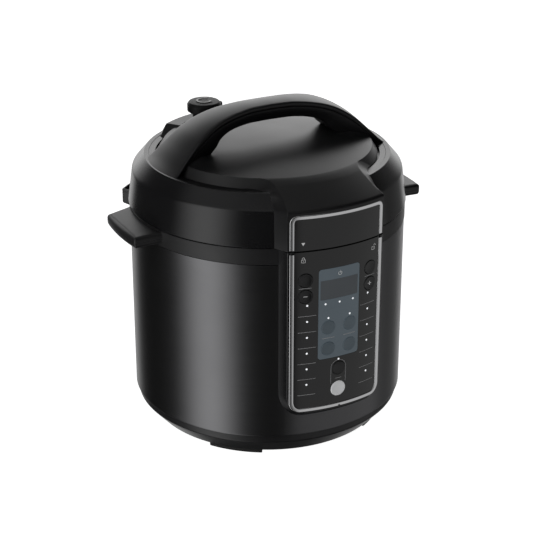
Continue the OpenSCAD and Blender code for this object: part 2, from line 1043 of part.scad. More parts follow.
module inner_lid() {
  color([0.75, 0.75, 0.77])
    difference() {
      union() {
        disc(118.2, inner_lid_z, inner_lid_t);
        tube(118.2, 117, seam_z + 6, inner_lid_z - seam_z - 5);
        tube(122.5, 117, seam_z + 6, 1.5);
        for (i = [0:lug_count - 1])
          rotate([0, 0, i * 360 / lug_count - lid_lug_angle / 2])
            rotate_extrude(angle = lid_lug_angle)
              translate([120, seam_z + 6])
                square([pot_lug_r - 0.5 - 120, 1.5]);
      }
      lid_post_places()
        disc(2.1, inner_lid_z - 1, 5);
      translate([knob_at[0], knob_at[1], 0])
        disc(5.1, inner_lid_z - 1, 5);
      translate([float_at[0], float_at[1], 0])
        disc(3.9, inner_lid_z - 1, 5);
    }
}

module inner_lid_screws() {
  color([0.6, 0.6, 0.62])
    lid_post_places()
      translate([0, 0, inner_lid_z])
        screw(1.8, 12, 4, 2);
}

module sealing_ring() {
  color([0.8, 0.8, 0.78])
    rotate_extrude()
      polygon([
        [111, seam_z + 3.6], [121.5, seam_z + 3.6], [121.5, seam_z + 5.6],
        [seal_r, seam_z + 5.6], [seal_r, seam_z + 14], [111, seam_z + 14]
      ]);
}

module seal_rack() {
  color([0.75, 0.75, 0.77])
    tube(111, 109.5, seam_z + 7, 3);
}

module steam_pipe() {
  color([0.75, 0.75, 0.77])
    translate([knob_at[0], knob_at[1], 0])
      difference() {
        union() {
          disc(5, seam_z + 10, 60);
          disc(7, inner_lid_z + inner_lid_t, 3);
        }
        disc(2, seam_z, 80);
      }
}

module steam_shield() {
  color([0.7, 0.7, 0.72])
    translate([knob_at[0], knob_at[1], 0])
      difference() {
        disc(9, inner_lid_z - 14, 14);
        disc(8, inner_lid_z - 13, 14);
        for (a = [0:45:315])
          rotate([0, 0, a])
            translate([0, -1, inner_lid_z - 11])
              cube([20, 2, 7]);
      }
}

module steam_knob() {
  pipe_top = seam_z + 70;
  color([0.06, 0.06, 0.065])
    translate([knob_at[0], knob_at[1], 0])
      difference() {
        union() {
          rotate_extrude()
            polygon([
              [0, platform_z + 0.6], [12, platform_z + 0.6], [13, seam_z + 66], [18, seam_z + 68],
              [18, seam_z + 75.5], [16, seam_z + 78], [0, seam_z + 79]
            ]);
          translate([12, -4, seam_z + 68])
            cube([9, 8, 7.5]);
        }
        disc(5.06, seam_z + 50, pipe_top - seam_z - 50 + 0.5);
      }
}

module float_pin() {
  color([0.75, 0.2, 0.15])
    translate([float_at[0], float_at[1], 0]) {
      disc(3.4, seam_z + 11, platform_z - seam_z - 11.5);
      disc(5.5, inner_lid_z + inner_lid_t + 0.3, 1.5);
    }
}

module float_cap() {
  color([0.8, 0.8, 0.78])
    translate([float_at[0], float_at[1], 0])
      tube(5, 3.4, seam_z + 11.5, 3);
}

base_housing();
feet();
base_screws();
outer_shell();
upper_ring();
side_handle_left();
side_handle_right();
side_handle_screws();
panel_housing();
panel_overlay();
panel_trim();
display_window();
display_screen();
indicator_lights();
control_board();
board_screws();
button_switches();
power_board();
transformer();
relay();
outer_pot();
heating_plate();
sensor_bracket();
thermal_sensor();
sensor_spring();
pressure_switch();
power_inlet();
inlet_pins();
cup_bracket();
condensation_cup();
inner_pot();
sealing_ring();
seal_rack();
lid_shell();
lid_cover();
lid_front_plate();
lid_trim();
handle_upper();
handle_lower();
handle_screws();
inner_lid();
inner_lid_screws();
steam_pipe();
steam_shield();
steam_knob();
float_pin();
float_cap();
cancel_button();
minus_button();
start_button();
plus_button();
pressure_button();
timer_button();
level_button();
temperature_button();
keep_warm_button();
menu_button();
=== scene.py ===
import math
from math import cos, sin, tan, radians, degrees, pi, sqrt, atan2, hypot

import bmesh
import bpy
from mathutils import Matrix, Vector


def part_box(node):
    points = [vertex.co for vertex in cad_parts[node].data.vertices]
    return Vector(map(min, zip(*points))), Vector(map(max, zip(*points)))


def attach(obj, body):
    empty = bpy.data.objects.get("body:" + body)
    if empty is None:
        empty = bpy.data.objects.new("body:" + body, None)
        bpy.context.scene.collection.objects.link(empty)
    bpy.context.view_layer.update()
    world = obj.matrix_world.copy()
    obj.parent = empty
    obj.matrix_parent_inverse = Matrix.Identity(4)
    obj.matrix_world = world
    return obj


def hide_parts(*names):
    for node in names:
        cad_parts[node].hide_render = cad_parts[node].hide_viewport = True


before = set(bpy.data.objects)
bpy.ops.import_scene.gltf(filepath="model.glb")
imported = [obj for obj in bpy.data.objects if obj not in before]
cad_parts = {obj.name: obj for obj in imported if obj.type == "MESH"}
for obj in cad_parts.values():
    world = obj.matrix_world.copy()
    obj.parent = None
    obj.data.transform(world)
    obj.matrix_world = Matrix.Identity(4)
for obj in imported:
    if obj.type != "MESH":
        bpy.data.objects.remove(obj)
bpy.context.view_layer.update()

scene = bpy.context.scene
MM = 0.001


# ---------------------------------------------------------------- places from the CAD, in mm
def lo(node):
    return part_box(node)[0] / MM


def hi(node):
    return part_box(node)[1] / MM


SEAM = lo("lid_shell").z - 0.4
SHELL_R = hi("outer_shell").x
SHELL_Z0 = lo("outer_shell").z
SHELL_Z1 = hi("outer_shell").z
RING_R = hi("upper_ring").x
RING_Z1 = hi("upper_ring").z
LID_R = hi("lid_shell").x
LID_Z0 = lo("lid_shell").z
RIM_Z = hi("lid_shell").z
PANEL_R = -lo("panel_overlay").y
TRIM_R = -lo("panel_trim").y
HOUSING_Z0 = lo("panel_housing").z
BASE_Z0 = lo("base_housing").z
BASE_Z1 = hi("base_housing").z
BASE_R = hi("base_housing").x
RIM_R = 126.0
COVER_R = 113.0
COVER_EDGE_R = 107.0
SKIRT_R = LID_R - 4.75
SKIRT_Z = SEAM + 35.5
CONE = (RIM_Z - SKIRT_Z) / (SKIRT_R - RIM_R)
DOME_Z = SEAM + 65
KNOB_XY = (-26.0, (lo("steam_pipe").y + hi("steam_pipe").y) / 2)
FLOAT_XY = ((lo("float_pin").x + hi("float_pin").x) / 2, (lo("float_pin").y + hi("float_pin").y) / 2)


# ---------------------------------------------------------------- materials
def node_tree(name):
    m = bpy.data.materials.new(name)
    m.use_nodes = True
    nt = m.node_tree
    return m, nt, nt.nodes["Principled BSDF"]


def wire(nt, node, inputs):
    """Sets a node's inputs, each to a value or to the socket it comes from"""
    for key, v in inputs.items():
        if isinstance(v, bpy.types.NodeSocket):
            nt.links.new(v, node.inputs[key])
        else:
            node.inputs[key].default_value = v
    return node


def add_node(nt, kind, inputs, **settings):
    n = nt.nodes.new("ShaderNode" + kind)
    for k, v in settings.items():
        setattr(n, k, v)
    return wire(nt, n, inputs)


def object_coords(nt):
    return add_node(nt, "TexCoord", {}).outputs["Object"]


def noise(nt, vec, scale, detail=3.0, rough=0.55):
    inputs = {"Scale": scale, "Detail": detail, "Roughness": rough, "Vector": vec}
    return add_node(nt, "TexNoise", inputs).outputs["Fac"]


def ranged(nt, value, a, b, c, d, smooth=False):
    """value, taken from the range a to b into the range c to d"""
    return add_node(nt, "MapRange", {"From Min": a, "From Max": b, "To Min": c, "To Max": d,
                                     "Value": value},
                    interpolation_type="SMOOTHSTEP" if smooth else "LINEAR").outputs["Result"]


def mixed(nt, fac, a, b):
    a, b = (c if isinstance(c, bpy.types.NodeSocket) else (*c, 1) for c in (a, b))
    return add_node(nt, "Mix", {0: fac, 6: a, 7: b}, data_type="RGBA").outputs[2]


def math_node(nt, op, *values):
    return add_node(nt, "Math", dict(enumerate(values)), operation=op).outputs[0]


def stretched(nt, vec, sx, sy, sz):
    return add_node(nt, "Mapping", {"Vector": vec, "Scale": (sx, sy, sz)}).outputs["Vector"]


def bumped(nt, bsdf, height, strength, distance):
    bump = add_node(nt, "Bump", {"Strength": strength, "Distance": distance, "Height": height})
    wire(nt, bsdf, {"Normal": bump.outputs["Normal"]})


def worn(nt, colour, amount, light):
    """colour, a little lighter along the edges that hands rub"""
    if amount <= 0:
        return colour
    pointed = add_node(nt, "NewGeometry", {}).outputs["Pointiness"]
    return mixed(nt, ranged(nt, pointed, 0.52, 0.60, 0, amount, True), colour, light)


def plastic(name, colour, rough=0.35, vary=0.18, grain=2600.0, grain_depth=0.12, smudge=0.05,
            coat=0.0, coat_rough=0.08, wear=0.25, specular=0.5, painted_glow=0.0):
    """Moulded plastic: fine pebbled grain, faint flow clouds, uneven gloss and rubbed edges"""
    m, nt, b = node_tree(name)
    obj = object_coords(nt)
    cloud = noise(nt, obj, 18, 4)
    fine = noise(nt, obj, grain, 2)
    dark = tuple(c * (1 - vary) for c in colour)
    light = tuple(min(1, c * (1 + vary) + 0.001) for c in colour)
    col = mixed(nt, ranged(nt, cloud, 0.3, 0.7, 0, 1), dark, light)
    col = worn(nt, col, wear, tuple(min(1, c * 1.8 + 0.015) for c in colour))
    wipe = noise(nt, stretched(nt, obj, 9, 9, 26), 1.0, 5, 0.6)
    gloss = math_node(nt, "ADD", ranged(nt, wipe, 0.3, 0.7, rough - smudge, rough + smudge),
                      ranged(nt, fine, 0.3, 0.7, -0.015, 0.015))
    wire(nt, b, {"Base Color": col, "Roughness": gloss, "Specular IOR Level": specular,
                 "Coat Weight": coat, "Coat Roughness": coat_rough})
    # painted glow: emission that brightens a plastic part which is not a lamp
    if painted_glow:
        wire(nt, b, {"Emission Color": col, "Emission Strength": painted_glow})
    if grain_depth > 0:
        bumped(nt, b, fine, grain_depth, 0.00005)
    return m


def metal(name, colour, rough=0.3, brush="round", depth=0.25, aniso=0.4, vary=0.10, lines=5200.0, turn=0.0):
    """Metal brushed round its upright axis, straight, or turned in rings on a flat face"""
    m, nt, b = node_tree(name)
    obj = object_coords(nt)
    if brush == "round":
        vec = stretched(nt, obj, 14, 14, lines)
    elif brush == "rings":
        x, y, z = add_node(nt, "SeparateXYZ", {0: obj}).outputs
        squares = math_node(nt, "ADD", math_node(nt, "MULTIPLY", x, x), math_node(nt, "MULTIPLY", y, y))
        away = math_node(nt, "SQRT", squares)
        vec = add_node(nt, "CombineXYZ", {0: math_node(nt, "MULTIPLY", away, lines),
                                          1: math_node(nt, "MULTIPLY", z, lines * 0.5)}).outputs[0]
    elif brush == "none":
        vec = stretched(nt, obj, 1500, 1500, 1500)
    else:
        vec = stretched(nt, obj, lines, 20, lines)
    line = noise(nt, vec, 1.0, 3, 0.6)
    cloud = noise(nt, obj, 12, 3)
    dark = tuple(c * (1 - vary) for c in colour)
    light = tuple(min(1, c * (1 + vary)) for c in colour)
    mix = math_node(nt, "MULTIPLY", math_node(nt, "ADD", line, cloud), 0.5)
    wire(nt, b, {"Base Color": mixed(nt, ranged(nt, mix, 0.35, 0.65, 0, 1), dark, light),
                 "Roughness": ranged(nt, line, 0.3, 0.7, rough - 0.05, rough + 0.06),
                 "Metallic": 1.0, "Anisotropic": aniso, "Anisotropic Rotation": turn})
    if brush in ("round", "rings"):
        tangent = add_node(nt, "Tangent", {}, direction_type="RADIAL", axis="Z")
        wire(nt, b, {"Tangent": tangent.outputs[0]})
    bumped(nt, b, line, depth, 0.00002)
    return m


# emission: a real lamp for the indicator dots, and a painted glow for the printed marks
def glowing(name, colour, strength, rough=0.3):
    m, nt, b = node_tree(name)
    fine = noise(nt, object_coords(nt), 900, 2)
    dark = tuple(c * 0.85 for c in colour)
    wire(nt, b, {"Base Color": mixed(nt, ranged(nt, fine, 0.3, 0.7, 0, 1), dark, colour),
                 "Roughness": ranged(nt, fine, 0.3, 0.7, rough - 0.05, rough + 0.05),
                 "Emission Color": (*colour, 1), "Emission Strength": strength})
    return m


M = {
    "shell": metal("black_steel", (0.15, 0.15, 0.154), 0.34, "round", 0.10, 0.6, 0.06, turn=0.25),
    "lid": plastic("lid_gloss_black", (0.012, 0.012, 0.013), 0.20, grain_depth=0.05, smudge=0.03, wear=0.3),
    "dome": plastic("lid_satin_black", (0.016, 0.016, 0.017), 0.36, grain_depth=0.18, smudge=0.03,
                    wear=0.3),
    "handle": plastic("handle_satin_black", (0.016, 0.016, 0.017), 0.33, grain_depth=0.12, smudge=0.03,
                      wear=0.4),
    "under": plastic("handle_underside", (0.010, 0.010, 0.011), 0.45, grain_depth=0.25, wear=0.15),
    "body": plastic("body_satin_black", (0.018, 0.018, 0.019), 0.38, grain_depth=0.22, wear=0.35),
    "base": plastic("base_satin_black", (0.016, 0.016, 0.017), 0.34, grain_depth=0.20, wear=0.25),
    "foot": plastic("foot_rubber", (0.012, 0.012, 0.012), 0.75, grain=1200, grain_depth=0.5, wear=0.1),
    "housing": plastic("housing_gloss", (0.012, 0.012, 0.013), 0.22, grain_depth=0.05, smudge=0.03,
                       wear=0.3),
    "glass": plastic("panel_gloss", (0.004, 0.004, 0.0043), 0.13, vary=0.05, grain_depth=0.0, smudge=0.02,
                     coat=0.4, coat_rough=0.04, wear=0.0),
    # window tint and screen: their own tinted colour, plus a painted glow that brightens them
    "window": plastic("window_tint", (0.056, 0.074, 0.088), 0.14, vary=0.05, grain_depth=0.0, smudge=0.02,
                      coat=0.4, coat_rough=0.05, wear=0.0, painted_glow=0.7),
    "screen": plastic("screen_dark", (0.046, 0.052, 0.058), 0.2, vary=0.06, grain_depth=0.0, wear=0.0,
                      painted_glow=0.5),
    "chrome": metal("polished_trim", (0.86, 0.86, 0.87), 0.12, "none", 0.02, 0.0, 0.02),
    # printed marks: real white and grey print, plus a painted glow from emission, since print is not a lamp
    "mark": glowing("printed_white_painted_glow", (0.75, 0.75, 0.75), 0.30, 0.5),
    "mark_grey": glowing("printed_grey_painted_glow", (0.42, 0.42, 0.43), 0.16, 0.5),
    "led": glowing("indicator_white", (0.9, 0.93, 0.95), 0.85, 0.25),
    "button": plastic("button_black", (0.012, 0.012, 0.013), 0.24, grain_depth=0.04, wear=0.2),
    # blue keys and the round white key: their own colour, plus a painted glow that brightens them
    "button_blue": plastic("button_blue", (0.050, 0.066, 0.078), 0.24, grain_depth=0.04, wear=0.2,
                           painted_glow=0.6),
    "button_white": plastic("button_white", (0.80, 0.81, 0.82), 0.28, vary=0.04, grain_depth=0.04, wear=0.0,
                            painted_glow=0.25),
    "knob": plastic("knob_satin", (0.010, 0.010, 0.0105), 0.46, grain_depth=0.25, wear=0.2, specular=0.22),
    "steel": metal("brushed_stainless", (0.62, 0.62, 0.64), 0.28, "round", 0.12, 0.5, 0.05, turn=0.25),
    "steel_rings": metal("turned_stainless", (0.62, 0.62, 0.64), 0.28, "rings", 0.12, 0.5, 0.05, 3800),
    "pressed": metal("pressed_steel", (0.52, 0.52, 0.54), 0.36, "none", 0.12, 0.0, 0.08),
    "alloy": metal("machined_alloy", (0.62, 0.62, 0.63), 0.33, "rings", 0.20, 0.4, 0.06, 2600),
    "screw": metal("zinc_screw", (0.52, 0.52, 0.54), 0.34, "none", 0.10, 0.0, 0.06),
    "brass": metal("plated_brass", (0.72, 0.60, 0.34), 0.28, "straight", 0.10, 0.2, 0.06),
    "silicone": plastic("silicone", (0.55, 0.55, 0.53), 0.52, vary=0.05, grain=900, grain_depth=0.15,
                        wear=0.0),
    "red": plastic("float_red", (0.42, 0.035, 0.022), 0.35, wear=0.1),
    "board": plastic("solder_mask", (0.018, 0.10, 0.045), 0.3, vary=0.3, grain=500, grain_depth=0.3,
                     wear=0.1),
    "relay": plastic("relay_blue", (0.03, 0.08, 0.30), 0.4, wear=0.1),
    "tape": plastic("transformer_tape", (0.45, 0.36, 0.07), 0.4, vary=0.2, wear=0.1),
    "dark": plastic("moulded_dark", (0.03, 0.03, 0.032), 0.5, wear=0.2),
    "beige": plastic("moulded_beige", (0.42, 0.38, 0.30), 0.45, wear=0.1),
}

CAD_MATERIAL = {
    "base_screws": "screw", "side_handle_screws": "screw", "board_screws": "screw",
    "handle_screws": "screw", "inner_lid_screws": "screw", "control_board": "board",
    "power_board": "board", "button_switches": "dark", "transformer": "tape", "relay": "relay",
    "outer_pot": "pressed", "heating_plate": "alloy", "sensor_bracket": "pressed",
    "thermal_sensor": "alloy", "sensor_spring": "screw", "pressure_switch": "beige",
    "power_inlet": "dark", "inlet_pins": "brass", "inner_pot": "steel", "sealing_ring": "silicone",
    "seal_rack": "steel", "inner_lid": "steel_rings", "steam_pipe": "steel", "steam_shield": "steel",
    "float_pin": "red", "float_cap": "silicone", "display_screen": "screen",
    "cup_bracket": "body",
}


# ---------------------------------------------------------------- mesh tools, in mm
def wrap(a):
    return (a + pi) % (2 * pi) - pi


def polar(r, a):
    """Plan position at a radius and an angle in degrees"""
    return r * cos(radians(a)), r * sin(radians(a))


def fillet(pts, closed=True, seg=5):
    """A polyline with each (x, y, radius) corner rounded"""
    out = []
    n = len(pts)
    for i, p in enumerate(pts):
        r = p[2] if len(p) > 2 else 0
        b = Vector(p[:2])
        if r <= 0 or (not closed and i in (0, n - 1)):
            out.append(b)
            continue
        u = Vector(pts[i - 1][:2]) - b
        v = Vector(pts[(i + 1) % n][:2]) - b
        lu, lv = u.length, v.length
        u.normalize()
        v.normalize()
        ang = u.angle(v)
        if ang > pi - 0.02:
            out.append(b)
            continue
        d = min(r / tan(ang / 2), lu * 0.49, lv * 0.49)
        rr = d * tan(ang / 2)
        c = b + (u + v).normalized() * (rr / sin(ang / 2))
        p0, p1 = b + u * d, b + v * d
        a0 = atan2(p0.y - c.y, p0.x - c.x)
        da = wrap(atan2(p1.y - c.y, p1.x - c.x) - a0)
        out += [c + Vector((cos(a0 + da * k / seg), sin(a0 + da * k / seg))) * rr for k in range(seg + 1)]
    return out


def pchip(table):
    """A smooth curve through (x, y) points that never overshoots them"""
    xs = [p[0] for p in table]
    ys = [p[1] for p in table]
    n = len(xs)
    d = [(ys[i + 1] - ys[i]) / (xs[i + 1] - xs[i]) for i in range(n - 1)]
    inner = [0 if p * q <= 0 else 2 * p * q / (p + q) for p, q in zip(d, d[1:])]
    m = [d[0]] + inner + [d[-1]]

    def f(x):
        x = min(max(x, xs[0]), xs[-1])
        i = max(k for k in range(n - 1) if xs[k] <= x)
        h = xs[i + 1] - xs[i]
        t = (x - xs[i]) / h
        return ((1 + 2 * t) * (1 - t) ** 2 * ys[i] + t * (1 - t) ** 2 * h * m[i]
                + t * t * (3 - 2 * t) * ys[i + 1] + t * t * (t - 1) * h * m[i + 1])

    return f


def smooth(a, b, x):
    t = min(max((x - a) / (b - a), 0), 1)
    return t * t * (3 - 2 * t)


def strip(bm, a, b, closed=False):
    n = len(a)
    for i in range(n if closed else n - 1):
        k = (i + 1) % n
        vs = []
        for v in (a[i], a[k], b[k], b[i]):
            if v not in vs:
                vs.append(v)
        if len(vs) > 2 and bm.faces.get(vs) is None:
            bm.faces.new(vs)


def stack(bm, levels):
    """Joins closed rings of points one to the next and closes both ends"""
    for a, b in zip(levels, levels[1:]):
        strip(bm, a, b, True)
    bm.faces.new(levels[0])
    bm.faces.new(levels[-1])


def split_big_faces(bm):
    bmesh.ops.triangulate(bm, faces=[f for f in bm.faces if len(f.verts) > 4])


def revolve(bm, profile, seg=160, a0=0.0, a1=360.0, closed=True, at=(0, 0)):
    full = abs(a1 - a0) >= 359.99
    cols = []
    for j in range(seg if full else seg + 1):
        a = radians(a0 + (a1 - a0) * j / seg)
        cols.append([bm.verts.new((at[0] + p[0] * cos(a), at[1] + p[0] * sin(a), p[1])) for p in profile])
    for j in range(seg):
        strip(bm, cols[j], cols[(j + 1) % len(cols)], closed)
    if not full and closed:
        bm.faces.new(cols[0])
        bm.faces.new(cols[-1])
    return cols


def build(bm, name, mat, body, nodes=(), sharp=35.0, bevel=0.0, bevel_angle=35.0, solid=0.0,
          weld=1e-3, segs=3, flip=False):
    """The finished piece: cleaned, in metres, with its material, its body and its CAD nodes"""
    bmesh.ops.remove_doubles(bm, verts=bm.verts, dist=weld)
    bmesh.ops.dissolve_degenerate(bm, edges=bm.edges, dist=1e-4)
    bmesh.ops.recalc_face_normals(bm, faces=bm.faces)
    if flip:
        bmesh.ops.reverse_faces(bm, faces=bm.faces)
    bmesh.ops.scale(bm, vec=(MM, MM, MM), verts=bm.verts)
    me = bpy.data.meshes.new(name)
    bm.to_mesh(me)
    bm.free()
    ob = bpy.data.objects.new(name, me)
    scene.collection.objects.link(ob)
    me.materials.append(M[mat])
    me.shade_smooth()
    if solid:
        s = ob.modifiers.new("Wall", "SOLIDIFY")
        s.thickness = solid * MM
        s.offset = -1
        s.use_even_offset = True
    if bevel:
        e = ob.modifiers.new("Edge", "BEVEL")
        e.width = bevel * MM
        e.segments = segs
        e.limit_method = "ANGLE"
        e.angle_limit = radians(bevel_angle)
        e.use_clamp_overlap = True
    if bevel or solid:
        freeze(ob)
    shade(ob, sharp)
    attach(ob, body)
    if nodes:
        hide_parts(*nodes)
    return ob


def shade(ob, sharp):
    ob.data.set_sharp_from_angle(angle=radians(sharp))
    ob.modifiers.new("Normals", "WEIGHTED_NORMAL").keep_sharp = True


def freeze(ob):
    """Applies every modifier to the mesh"""
    bpy.context.view_layer.update()
    ev = ob.evaluated_get(bpy.context.evaluated_depsgraph_get())
    me = bpy.data.meshes.new_from_object(ev)
    old = ob.data
    ob.modifiers.clear()
    ob.data = me
    me.name = ob.name
    bpy.data.meshes.remove(old)


def carve(ob, cuts):
    """Cuts upright holes, each an outline in plan between two heights"""
    bm = bmesh.new()
    for ring, z0, z1 in cuts:
        stack(bm, [[bm.verts.new((p[0] * MM, p[1] * MM, z * MM)) for p in ring] for z in (z0, z1)])
    bmesh.ops.recalc_face_normals(bm, faces=bm.faces)
    me = bpy.data.meshes.new("cutter")
    bm.to_mesh(me)
    bm.free()
    cutter = bpy.data.objects.new("cutter", me)
    scene.collection.objects.link(cutter)
    ob.modifiers.clear()
    b = ob.modifiers.new("Holes", "BOOLEAN")
    b.object = cutter
    b.operation = "DIFFERENCE"
    b.solver = "EXACT"
    b.use_self = True
    freeze(ob)
    bpy.data.objects.remove(cutter)
    shade(ob, 35)
    return ob


def inset(pts, d):
    n = len(pts)
    out = []
    for i in range(n):
        a, b, c = pts[i - 1], pts[i], pts[(i + 1) % n]
        e1, e2 = (b - a).normalized(), (c - b).normalized()
        n1, n2 = Vector((-e1.y, e1.x)), Vector((-e2.y, e2.x))
        out.append(b + (n1 + n2) / (1 + n1.dot(n2)) * d)
    return out


def area(pts):
    return sum(pts[i - 1].x * pts[i].y - pts[i].x * pts[i - 1].y for i in range(len(pts))) / 2


def round_rect(x0, z0, x1, z1, radii, seg=6):
    """Corners from the lower left, anticlockwise, each with its radius"""
    c = [(x0, z0), (x1, z0), (x1, z1), (x0, z1)]
    return fillet([(*p, r) for p, r in zip(c, radii)], True, seg)


def circle(s, z, r, n=32):
    return [Vector((s + r * cos(2 * pi * k / n), z + r * sin(2 * pi * k / n))) for k in range(n)]


def on_front(verts):
    """Bends flat (arc length, height, radius) points round the panel's cylinder"""
    for v in verts:
        s, z, r = v.co
        v.co = (r * sin(s / PANEL_R), -r * cos(s / PANEL_R), z)


def set_in_front(bm, s, z):
    """Moves a piece turned about Z so that it points straight out of the panel there"""
    a = s / PANEL_R
    out = Vector((sin(a), -cos(a), 0))
    m = Matrix((Vector((cos(a), sin(a), 0)), Vector((0, 0, 1)), out)).transposed().to_4x4()
    m.translation = out * PANEL_R + Vector((0, 0, SEAM + z))
    bmesh.ops.transform(bm, matrix=m, verts=bm.verts)


def plate(bm, outline, holes, r0, r1, edge, step=3.0):
    """A curved plate with rounded edges, between two radii, with any holes"""
    t = bmesh.new()
    tops, bottoms = [], []
    for k, ring in enumerate([outline] + list(holes)):
        ring = list(ring)
        if (area(ring) > 0) != (k == 0):
            ring.reverse()
        levels = []
        for off, r in ((0, r0), (0, r1 - edge), (edge * 0.12, r1 - edge * 0.5),
                       (edge * 0.5, r1 - edge * 0.12), (edge, r1)):
            levels.append([t.verts.new((p.x, p.y, r)) for p in inset(ring, off)])
        for a, b in zip(levels, levels[1:]):
            strip(t, a, b, True)
        tops.append(levels[-1])
        bottoms.append(levels[0])
    for rings in (tops, bottoms):
        edges = [t.edges.get((ring[i - 1], ring[i])) for ring in rings for i in range(len(ring))]
        bmesh.ops.triangle_fill(t, edges=edges, use_beauty=True, use_dissolve=False, normal=(0, 0, 1))
    xs = [p.x for p in outline]
    x = min(xs) + step
    while x < max(xs) - 0.5:
        bmesh.ops.bisect_plane(t, geom=t.verts[:] + t.edges[:] + t.faces[:], plane_co=(x, 0, 0),
                               plane_no=(1, 0, 0), dist=1e-4)
        x += step
    on_front(t.verts)
    join(bm, t)


def join(bm, other):
    me = bpy.data.meshes.new("part")
    bmesh.ops.recalc_face_normals(other, faces=other.faces)
    other.to_mesh(me)
    other.free()
    bm.from_mesh(me)
    bpy.data.meshes.remove(me)


def resample(pts, closed, most):
    out = []
    n = len(pts)
    for i in range(n if closed else n - 1):
        a, b = Vector(pts[i]), Vector(pts[(i + 1) % n])
        k = max(1, math.ceil((b - a).length / most))
        out += [a.lerp(b, j / k) for j in range(k)]
    if not closed:
        out.append(Vector(pts[-1]))
    return out


def mitres(path, closed, least):
    """At each point of a line, the vector to its left that keeps an offset line's width"""
    n = len(path)
    out = []
    for i, p in enumerate(path):
        a = path[i - 1] if (i > 0 or closed) else p
        c = path[(i + 1) % n] if (i < n - 1 or closed) else p
        d1 = (p - a).normalized() if (p - a).length > 1e-9 else (c - p).normalized()
        d2 = (c - p).normalized() if (c - p).length > 1e-9 else d1
        n1, n2 = Vector((-d1.y, d1.x)), Vector((-d2.y, d2.x))
        out.append((n1 + n2) / max(least, 1 + n1.dot(n2)))
    return out


def sweep(bm, rows, closed):
    for i in range(len(rows) if closed else len(rows) - 1):
        strip(bm, rows[i], rows[(i + 1) % len(rows)], True)
    if not closed:
        bm.faces.new(rows[0])
        bm.faces.new(rows[-1])
    on_front([v for row in rows for v in row])


def stroke(bm, pts, width, r0, r1, closed=False):
    """A printed line of that width on the curved panel"""
    pts = resample(pts, closed, 2.5)
    rows = []
    for p, m in zip(pts, mitres(pts, closed, 0.4)):
        a, b = p + m * width / 2, p - m * width / 2
        rows.append([bm.verts.new(x) for x in
                     ((a.x, a.y, r0), (a.x, a.y, r1), (b.x, b.y, r1), (b.x, b.y, r0))])
    sweep(bm, rows, closed)


def sweep_frame(bm, path, section):
    """A trim strip: each section point is (offset to the outline's left, radius)"""
    rows = []
    for p, m in zip(path, mitres(path, False, 0.5)):
        rows.append([bm.verts.new(((p + m * o).x, (p + m * o).y, r)) for o, r in section])
    sweep(bm, rows, False)


# ---------------------------------------------------------------- body: base, feet, shell, ring
def make_base():
    bm = bmesh.new()
    low = BASE_R - 16.7
    outer = [(low - 4, BASE_Z0, 2), (low + 0.5, BASE_Z0, 1.6), (BASE_R - 0.6, SHELL_Z0 - 8.2, 3.5),
             (BASE_R - 0.2, SHELL_Z0 - 0.6, 0.6), (BASE_R - 2.2, SHELL_Z0 + 0.2, 0.3),
             (BASE_R - 2.2, BASE_Z1, 0.3), (BASE_R - 4.6, BASE_Z1, 0.3), (BASE_R - 4.6, SHELL_Z0 - 7, 2),
             (low - 3, BASE_Z0 + 3, 1), (46, BASE_Z0 + 3), (46, BASE_Z0)]
    revolve(bm, fillet(outer), 192)
    disc = [(0.01, BASE_Z0), (38, BASE_Z0), (46.2, BASE_Z0), (46.2, BASE_Z0 + 3), (0.01, BASE_Z0 + 3)]
    revolve(bm, fillet(disc), 192)
    ob = build(bm, "base_housing_shell", "base", "cooker_body", ["base_housing"], weld=0.25)
    cuts = []
    for k in range(24):
        a = radians(15 * k)
        pts = round_rect(50, -1.5, 72, 1.5, [1.45] * 4, 4)
        slot = [(p.x * cos(a) - p.y * sin(a), p.x * sin(a) + p.y * cos(a)) for p in pts]
        cuts.append((slot, BASE_Z0 - 2, BASE_Z0 + 6))
    for a in (90, 210, 330):
        x, y = polar(100, a)
        cuts.append((circle(x, y, 5), BASE_Z0 - 2, BASE_Z0 + 2.2))
        cuts.append((circle(x, y, 2.2), BASE_Z0 - 2, BASE_Z0 + 6))
    return carve(ob, cuts)


def make_feet():
    r1 = 121.6
    r0 = r1 - 12.3
    bm = bmesh.new()
    for a in (47, 133, 227, 313):
        prof = [(r0, 0.0, 1.2), (r1, 0.0, 1.2), (r1 + 0.6, BASE_Z0 + 0.4, 0), (r0 - 0.6, BASE_Z0 + 0.4, 0)]
        revolve(bm, fillet(prof, True, 4), 20, a - 13.4, a + 13.4)
    return build(bm, "rubber_feet", "foot", "cooker_body", ["feet"], bevel=0.9,
                 bevel_angle=60)


def make_shell():
    bm = bmesh.new()
    half = degrees(math.asin(49 / SHELL_R))
    plate_edges = [round(-90 - half, 4), round(-90 + half, 4)]
    angles = sorted(set(plate_edges + [-180 + 1.5 * k for k in range(240)]))
    z0, z1 = SHELL_Z0, SHELL_Z1
    panel_z0 = 69.0
    levels = [(-1.2, z0 + 1.0), (-0.35, z0 + 0.25), (0, z0 + 0.9), (0, z0 + 2), (0, panel_z0), (0, 90),
              (0, 120), (0, 150), (0, 180), (0, z1 - 12), (0, z1 - 1.1), (-0.3, z1 - 0.3), (-1.2, z1 - 0.2)]
    rows = [[bm.verts.new((*polar(SHELL_R + o, a), z)) for a in angles] for o, z in levels]
    n = len(angles)
    for j, (lo_row, hi_row) in enumerate(zip(rows, rows[1:])):
        cut = levels[j][1] >= panel_z0 - 0.01
        for i in range(n):
            mid = (angles[i] + (angles[(i + 1) % n] if i < n - 1 else 180)) / 2
            if cut and abs(mid + 90) < half:
                continue
            bm.faces.new((lo_row[i], lo_row[(i + 1) % n], hi_row[(i + 1) % n], hi_row[i]))
    return build(bm, "steel_shell", "shell", "cooker_body", ["outer_shell"], solid=0.9)


